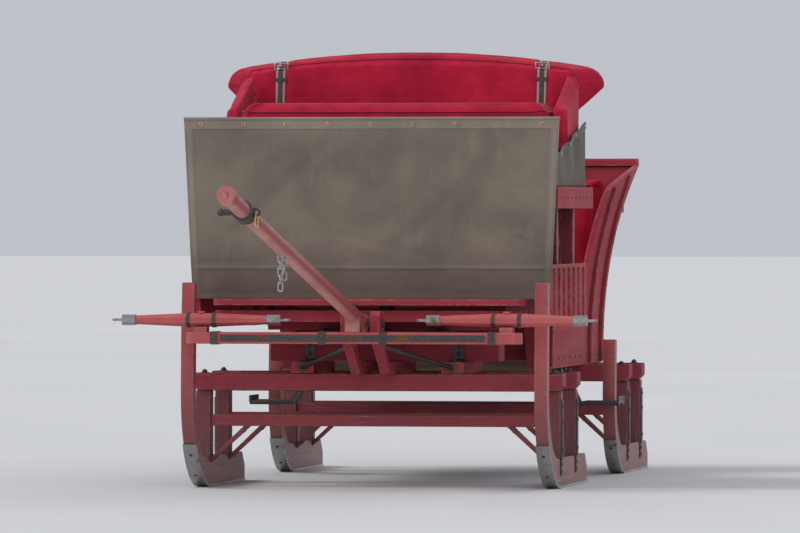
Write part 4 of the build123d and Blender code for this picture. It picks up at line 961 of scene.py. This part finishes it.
foot = APRON_LOW + 0.01
for side in (1, -1):
    for inset in (0.006, 0.027):
        stitch_row(
            lambda t: apron_point(side * (edge_half(foot + t) - inset), foot + t, 0.0026), 66
        )
for z in (SEAM_Z + 0.005, SEAM_Z + 0.019, APRON_LOW + 0.024):
    stitch_row(lambda t: apron_point(-0.69 + t, z, 0.0028), 138)
stitches.piece("apron_stitches", STRAP, slot="tarp_grey")

# Side curtains, each cut on a slant and tied up by a strap along that edge

low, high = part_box("apron_sides")
FRONT_TOP, REAR_TOP = 1.275, 1.45
CURTAIN_LONG = high.y - low.y - 0.006
curtain_straps, studs = Solid(), Solid()


def hang_curtain(side, name):
    """One curtain with its strap and studs."""

    def place(along, up, out=0.0):
        """A place on the curtain, from its front to its rear and from its foot up."""
        y = low.y + 0.003 + CURTAIN_LONG * along
        top = FRONT_TOP + (REAR_TOP - FRONT_TOP) * along - 0.002
        z = low.z + 0.001 + (top - low.z) * up
        wave = 0.006 * math.sin(along * 21 + 3 * up)
        wave += 0.006 * noise.noise(Vector((y * 4, side, z * 4)))
        free = math.sin(math.pi * along) * up
        return Vector((side * (0.7045 + wave * free + out), y, z))

    # The curtain takes the darker tarp, painted shade.
    curtain = hang(f"side_curtain_{name}", CURTAIN_PAINTED_SHADE, place, 120, 32, "apron_sides")
    line = [place(share, 0.95, 0.0035) for share in spread(0, 1, 60)]
    curtain_straps.strip(line, Vector((0, -0.17, 1)), 0.028, 0.003)
    for share in (0.03, 0.27, 0.5, 0.73, 0.97):
        studs.dome(place(share, 0.95, 0.005), SIDEWAYS * side, 0.008)


hang_curtain(1, "left")
hang_curtain(-1, "right")
curtain_straps.piece("curtain_straps", STRAP, bevel=0.0006)
studs.piece("curtain_studs", BRASS)

# Ironwork and trim that the frame leaves out

BOLT = 0.0085
TRACK_HALF = 0.7
SHOE_THICK = 0.008
# Distance out and height of the flat iron that ties a post to its runner, and of its brace
TIE_LINE = ((0.7275, 0.05), (0.7275, 0.108), (0.7325, 0.124), (0.7325, 0.345))
BRACE_LINE = ((0.515, 0.24), (0.675, 0.095))


def bob_iron(name, body, nose, bend, stations):
    """Ties, bolts and nuts of one bob."""
    ties, bolts = Solid(), Solid()
    for x, heights in ((0.73, (0.066, 0.095)), (0.735, (0.15, 0.2625, 0.325))):
        bolts.both_sides(x, [(station, z) for station in stations for z in heights], BOLT)
    for side in (1, -1):
        for station in stations:
            line = [at(side * x, station, z) for x, z in TIE_LINE]
            ties.strip(line, LENGTHWAYS, 0.034, 0.005)
            bolts.nut(at(side * TRACK_HALF, station, 0.45), UPWARDS, 0.011)
            start, end = (at(side * x, station, z) for x, z in BRACE_LINE)
            down = Vector((-side * (start.z - end.z), 0, -abs(end.x - start.x))).normalized()
            bolts.domes([start.lerp(end, share) for share in (0.15, 0.85)], down, BOLT)
        centre = at(side * TRACK_HALF, nose + bend, SHOE_THICK + bend)
        for degrees in (10, 30, 50):
            turn = math.radians(degrees)
            spoke = Vector((0, -math.sin(turn), -math.cos(turn)))
            bolts.dome(centre + spoke * (bend + SHOE_THICK), spoke, 0.007, high=0.25)
    ties.piece(name + "_ties", IRON, body, bevel=THIN_EDGE)
    bolts.piece(name + "_bolts", IRON, body)


FRONT_STATIONS = (0.58, 0.98)
bob_iron("front_bob", "front_bob", 0.215, 0.36, FRONT_STATIONS)
bob_iron("rear_bob", "sleigh_body", 2.1, 0.3, (2.48, 2.86))

# The front bob's carriage: clips on its bolster, bolts, and washers where stays meet the timber
clips, bolts = Solid(), Solid()
stay_bolts = ((0.16, 0.615), (0.24, 0.615), (0.345, 0.5), (0.5, 0.4725), (0.9, 0.4725))
bolts.both_sides(0.076, stay_bolts, 0.009)
washer = [(0, 0.019), (0.003, 0.019), (0.004, 0.0175)]
for side in (1, -1):
    x = side * 0.3
    for face, out in ((0.71, -1), (0.85, 1)):
        legs = ((0.002, 0.574), (0.002, 0.505), (0.009, 0.497), (0.06, 0.497))
        clips.strip([at(x, face + out * y, z) for y, z in legs], SIDEWAYS, 0.04, 0.004)
        heads = [at(x, face + out * 0.004, z) for z in (0.557, 0.525)]
        bolts.domes(heads, LENGTHWAYS * out, BOLT)
        bolts.dome(at(x, face + out * 0.042, 0.499), UPWARDS, BOLT)
    for station in FRONT_STATIONS:
        bolts.nut(at(x, station, 0.495), UPWARDS, 0.011)
        bolts.nut(at(side * 0.058, station, 0.495), UPWARDS, 0.009)
    bolts.lathe(at(side * 0.076, 0.3, 0.555), SIDEWAYS * side, washer, 20)
    bolts.lathe(at(x, 0.535, 0.4725), -LENGTHWAYS, washer, 20)
clips.piece("front_bob_clips", IRON, "front_bob", bevel=THIN_EDGE)
bolts.piece("front_carriage_bolts", IRON, "front_bob")

# Evener and swingletrees: edging, bands and rivets
HALF_DEEP, EVENER_LOW, EVENER_HIGH, EVENER_MIDDLE = 0.035, 0.575, 0.62, 0.5975
edging, rivets = Solid(), Solid()
for out in (-1, 1):
    face = out * (HALF_DEEP + 0.003)
    edging.plate((-0.52, 0.52), (out * HALF_DEEP, face), (0.585, 0.61))
    heads = [at(x, face, EVENER_MIDDLE) for x in (-0.47, -0.36, -0.24, 0, 0.24, 0.36, 0.47)]
    rivets.domes(heads, LENGTHWAYS * out, 0.0065)
for x in (-0.545, -0.12, 0.12, 0.545):
    deep = HALF_DEEP + 0.0045
    edging.plate((x - 0.014, x + 0.014), (-deep, deep), (EVENER_LOW - 0.003, EVENER_HIGH + 0.003))
    for out in (-1, 1):
        rivets.dome(at(x, out * deep, EVENER_MIDDLE), LENGTHWAYS * out, 0.006)
edging.piece("evener_irons", IRON, "evener", bevel=THIN_EDGE)
rivets.piece("evener_rivets", IRON, "evener")
TREE_Z = 0.667
HALF_BAND = [(0, 0.0285), (0, 0.0308), (0.0015, 0.0316)]
BAND = HALF_BAND + [(0.014 - along, radius) for along, radius in reversed(HALF_BAND)]
for side, name in ((1, "left"), (-1, "right")):
    bands, rivets = Solid(), Solid()
    middle = at(side * 0.6, 0, TREE_Z)
    for end in (1, -1):
        bands.lathe(middle + SIDEWAYS * (end * 0.044), SIDEWAYS * end, BAND, 8, turn=0.5)
        for out in (1, -1):
            socket = middle + Vector((end * 0.285, out * 0.0203, 0))
            rivets.dome(socket, LENGTHWAYS * out, 0.0045)
    bands.piece(f"swingletree_bands_{name}", IRON, f"swingletree_{name}", smooth=False)
    rivets.piece(f"swingletree_rivets_{name}", STEEL, f"swingletree_{name}")

# Pole: its ring and chains, and trim on its cap and sleeve
TILT = math.atan2(0.5, 2.85)
ALONG = Vector((0, -math.cos(TILT), math.sin(TILT)))
HINGE = at(0, 0.2, 0.65)
CAP_RADIUS, POLE_RADIUS = 0.034, 0.029
POLE_LONG = (2.85 - CAP_RADIUS * math.sin(TILT)) / math.cos(TILT)
SLEEVE_RADIUS = POLE_RADIUS + 0.007


def on_pole(from_tip):
    """A place on the pole's middle line."""
    return HINGE + ALONG * (POLE_LONG - from_tip)


def bead(solid, place, radius):
    """A half-round ring about the pole."""
    half = [(-0.005, -0.002), (-0.004, 0.001), (-0.002, 0.0025)]
    steps = half + [(-along, out) for along, out in reversed(half)]
    solid.lathe(place, ALONG, [(along, radius + out) for along, out in steps], 32)


trim = Solid()
bead(trim, on_pole(0.4), SLEEVE_RADIUS)
bead(trim, on_pole(0.325), SLEEVE_RADIUS)
KNOB = 0.015
turns = [math.pi * k / 8 for k in range(1, 8)]
ball = [(-KNOB * math.cos(a), KNOB * math.sin(a)) for a in turns]
knob = on_pole(0.3625) - SIDEWAYS * 0.085
trim.lathe(knob, SIDEWAYS, [(-KNOB, 0), *ball, (KNOB, 0)])
trim.piece("pole_trim", IRON, "pole")
rim = Solid()
bead(rim, on_pole(0.045), CAP_RADIUS - 0.0005)
rim.dome(on_pole(0.0), ALONG, 0.012, high=0.2)
rim.piece("pole_cap_rim", PALE_WITH_PAINTED_SHADE, "pole")

ring = Solid()
RING_CENTRE = on_pole(0.3625) + Vector((0.044, 0, -0.0285))
wire = circle(RING_CENTRE, LENGTHWAYS, UPWARDS, 0.026, 36)
ring.tube(wire, 0.0045, closed=True, count=10)
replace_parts(ring.piece("pole_ring_wire", BRASS, "pole"), "pole_ring")

LINK_PITCH = 0.0267
chains = Solid()


def link(centre, side):
    """A link of bent wire that hangs upright: two half circles with a straight between them."""
    arc = circle(UPWARDS * 0.008, side, UPWARDS, 0.0085, 16)[:9]
    line = [centre + half * place for half in (1, -1) for place in arc]
    chains.tube(line, 0.003, closed=True)


under = Vector((0, -math.sin(TILT), -math.cos(TILT)))
for from_tip, count in ((1.09, 5), (1.17, 3)):
    root = on_pole(from_tip)
    top = root - UPWARDS * (POLE_RADIUS / math.cos(TILT) + 0.0135)
    for index in range(count):
        link(top - UPWARDS * (index * LINK_PITCH), LENGTHWAYS if index % 2 else SIDEWAYS)
    staple = [(0, 0.012), (0.005, 0.012), (0.006, 0.01)]
    chains.lathe(root + under * (POLE_RADIUS - 0.003), under, staple)
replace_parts(chains.piece("pole_chain_links", STEEL, "pole"), "pole_chains")

# Driver's stand: nails of its panels, deck and cheeks, nuts and nails of its seat box and back
PANEL_FRONT, STAND_REAR, BOX_FRONT = 0.42, 1.39, 0.93
PANEL_INSET = 0.0225
BOARD_PITCH = 0.165667
nails = Solid()
distances = spread(PANEL_FRONT + PANEL_INSET, STAND_REAR - PANEL_INSET, 7)
places = [(distance, z) for distance in distances for z in (0.66, 0.845)]
nails.both_sides(0.709, places, 0.005, high=0.35)
distances = [0.4 + board * BOARD_PITCH + edge for board in range(6) for edge in (0.04, 0.122)]
places = [at(x, distance, 0.77) for distance in distances for x in (-0.5, -0.17, 0.17, 0.5)]
nails.domes(places, UPWARDS, 0.005, high=0.25)
nails.both_sides(0.737, [(distance, 1.1425) for distance in spread(0.48, 1.344, 8)], 0.007)
for x in (-0.4, 0, 0.4):
    for z in (1.21, 1.33):
        nails.nut(at(x, STAND_REAR + 0.008, z), LENGTHWAYS, 0.009)
    foot = Vector((x, BACK_REAR, BACK_FOOT)) + HEAD_REAR * 0.0083
    nails.domes([foot + HEAD_RISE * rise for rise in (0.04, 0.11, 0.17)], HEAD_REAR, 0.007)
nails.piece("stand_nails", IRON)

frames = Solid()
for face, out in ((BOX_FRONT, -1), (STAND_REAR, 1)):
    proud = (face, face + out * 0.007)
    for z in ((1.155, 1.175), (1.36, 1.38)):
        frames.plate((-0.61, 0.61), proud, z)
    for x in (-0.6, -0.2, 0.2, 0.6):
        frames.plate((x - 0.01, x + 0.01), proud, (1.175, 1.36))
frames.piece("seat_box_mouldings", RED["x"], bevel=0.002)

# Passenger tub
SIDE_FLARE, REAR_FLARE, KNEE = 2.08966, 2.58057, 0.53
FOOT_HALF, FOOT_REAR = 0.53, 2.99


def flare(z, radius):
    """How far a panel stands out over its foot, along an arc that starts at the knee."""
    return radius - math.sqrt(radius**2 - max(0.0, z - KNEE) ** 2)


def tub_half(z):
    """Half the tub's inner width at a height."""
    return FOOT_HALF + flare(z, SIDE_FLARE)


def rear_face(z):
    """How far back the rear panel's inner face is at a height."""
    return FOOT_REAR + flare(z, REAR_FLARE)


def rounded(corners, radius):
    """A line through corners, with each inner corner rounded."""
    points = [Vector(corner) for corner in corners]
    made = [points[0]]
    for before, corner, after in zip(points, points[1:], points[2:]):
        start = corner + (before - corner).normalized() * radius
        end = corner + (after - corner).normalized() * radius
        for k in range(7):
            share = k / 6
            made.append(start.lerp(corner, share).lerp(corner.lerp(end, share), share))
    made.append(points[-1])
    return made


# Distance back and height along the top edge of a side
EDGE = ((1.444, 1.18), (1.59, 1.18), (1.9, 0.64), (2.315, 0.64), (2.465, 1.18), (3.09, 1.278))
# Distance back and top of each rib on a side
SIDE_RIBS = ((1.5, 1.165), (2.6, 1.19), (2.92, 1.24))
beads, ribs, tub_bolts = Solid(), Solid(), Solid()
for side in (1, -1):
    line = [at(side * (tub_half(z) + 0.007), y, z) for y, z in even(rounded(EDGE, 0.09), 0.03)]
    beads.tube(line, 0.0105, count=12)
    for distance, top in SIDE_RIBS:
        rib = [at(side * (tub_half(z) + 0.0215), distance, z) for z in spread(0.458, top, 16)]
        ribs.strip(rib, LENGTHWAYS, 0.042, 0.016)
        heights = (0.49, 0.6, 0.78, 0.96, top - 0.05)
        heads = [at(side * (tub_half(z) + 0.0293), distance, z) for z in heights]
        tub_bolts.domes(heads, SIDEWAYS * side, 0.0075)
beads.piece("tub_side_beads", RED["y"])
distances = [y for y in spread(1.6, 2.84, 8) if min(abs(y - rib) for rib, _ in SIDE_RIBS) > 0.04]
tub_bolts.both_sides(0.544, [(distance, 0.49) for distance in distances], BOLT)
for x in (-0.3, 0, 0.3):
    rib = [at(x, rear_face(z) + 0.0195, z) for z in spread(0.545, 1.235, 16)]
    ribs.strip(rib, SIDEWAYS, 0.045, 0.012)
    heads = [at(x, rear_face(z) + 0.0255, z) for z in (0.57, 0.79, 1.01, 1.21)]
    tub_bolts.domes(heads, LENGTHWAYS, 0.0075)
ribs.piece("tub_ribs", RED["z"], bevel=0.002)

CORNER_REACH = 0.11
corner_irons = Solid()
for side in (1, -1):
    for z in (0.62, 1.1):
        half, rear = tub_half(z) + 0.0165, rear_face(z) + 0.0165
        bent = ((0, CORNER_REACH), (0, 0.006), (0.002, 0.002), (0.006, 0), (CORNER_REACH, 0))
        line = [at(side * (half - inward), rear - ahead, z) for inward, ahead in bent]
        corner_irons.strip(line, UPWARDS, 0.034, 0.004)
        for along in (0.03, 0.09):
            tub_bolts.dome(at(side * (half + 0.002), rear - along, z), SIDEWAYS * side, 0.007)
            tub_bolts.dome(at(side * (half - along), rear + 0.002, z), LENGTHWAYS, 0.007)
corner_irons.piece("tub_corner_irons", IRON, bevel=THIN_EDGE)
tub_bolts.piece("tub_bolts", IRON)

slats, treads = Solid(), Solid()
for index in range(8):
    start = 1.752 + index * 0.0755
    slats.plate((-0.43, 0.43), (start, start + 0.05), (0.378, 0.39))
slats.piece("footwell_slats", BOARDS, bevel=0.002)
for side in (1, -1):
    for index in range(8):
        start = 1.91 + index * 0.0214
        treads.plate((side * 0.615, side * 0.755), (start, start + 0.006), (0.308, 0.3105))
    for distance in (1.93, 2.05):
        treads.nut(at(side * 0.5, distance, 0.442), -UPWARDS, 0.009)
treads.piece("step_treads", IRON, bevel=0.0006)

# Camera at the photograph's place and looking the same way, drawn in on the sleigh

PHOTO_LENS, PHOTO_WIDE, SENSOR = 123.75, 800, 36
DRAWN_IN = 2.9
MIDDLE_PIXEL = (421, 356)
HORIZON_PIXEL = 336
PIXELS = PHOTO_LENS / SENSOR * PHOTO_WIDE
HEADING = math.radians(10) - math.atan((MIDDLE_PIXEL[0] - PHOTO_WIDE / 2) / PIXELS)
PITCH = math.atan((HORIZON_PIXEL - MIDDLE_PIXEL[1]) / PIXELS)
camera = linked("camera", bpy.data.cameras.new("camera"))
camera.data.lens = PHOTO_LENS * DRAWN_IN
camera.data.clip_end = 400
camera.location = at(5.31, -30.44, 1.1)
camera.rotation_euler = Euler((math.pi / 2 + PITCH, 0, HEADING))
bpy.context.scene.camera = camera

# Floor and light


def floor(reach):
    """A pale floor, a little uneven in tone."""
    mesh = bpy.data.meshes.new("floor")
    corners = [(-reach, -reach, 0), (reach, -reach, 0), (reach, reach, 0), (-reach, reach, 0)]
    mesh.from_pydata(corners, [], [(0, 1, 2, 3)])
    g = Graph("floor")
    shade = g.noise(0.4, 2.0)
    pale = g.between(shade, 0.3, 0.7, rgb(0.62, 0.62, 0.63), rgb(0.58, 0.585, 0.6))
    mesh.materials.append(g.finish(color=pale, rough=0.9))
    linked("floor", mesh)


floor(150)


def sun(name, towards, strength, softness, color):
    """A soft lamp that lights everything alike from one side."""
    data = bpy.data.lights.new(name, "SUN")
    data.energy = strength
    data.angle = math.radians(softness)
    data.color = color
    linked(name, data).rotation_euler = Vector(towards).to_track_quat("Z", "Y").to_euler()


sun("key", (-0.8, -0.2, 0.75), 1.5, 25, (1.0, 0.97, 0.93))
sun("front", (0.35, -1.0, 0.35), 0.7, 60, (0.95, 0.97, 1.0))
sun("rear", (0.5, 1.0, 0.6), 0.6, 50, (1.0, 1.0, 1.0))

world = bpy.data.worlds.new("world")
world.use_nodes = True
bpy.context.scene.world = world
background = world.node_tree.nodes["Background"]
background.inputs["Color"].default_value = (0.86, 0.9, 0.97, 1.0)
background.inputs["Strength"].default_value = 0.6

bpy.context.scene.view_settings.view_transform = "Standard"
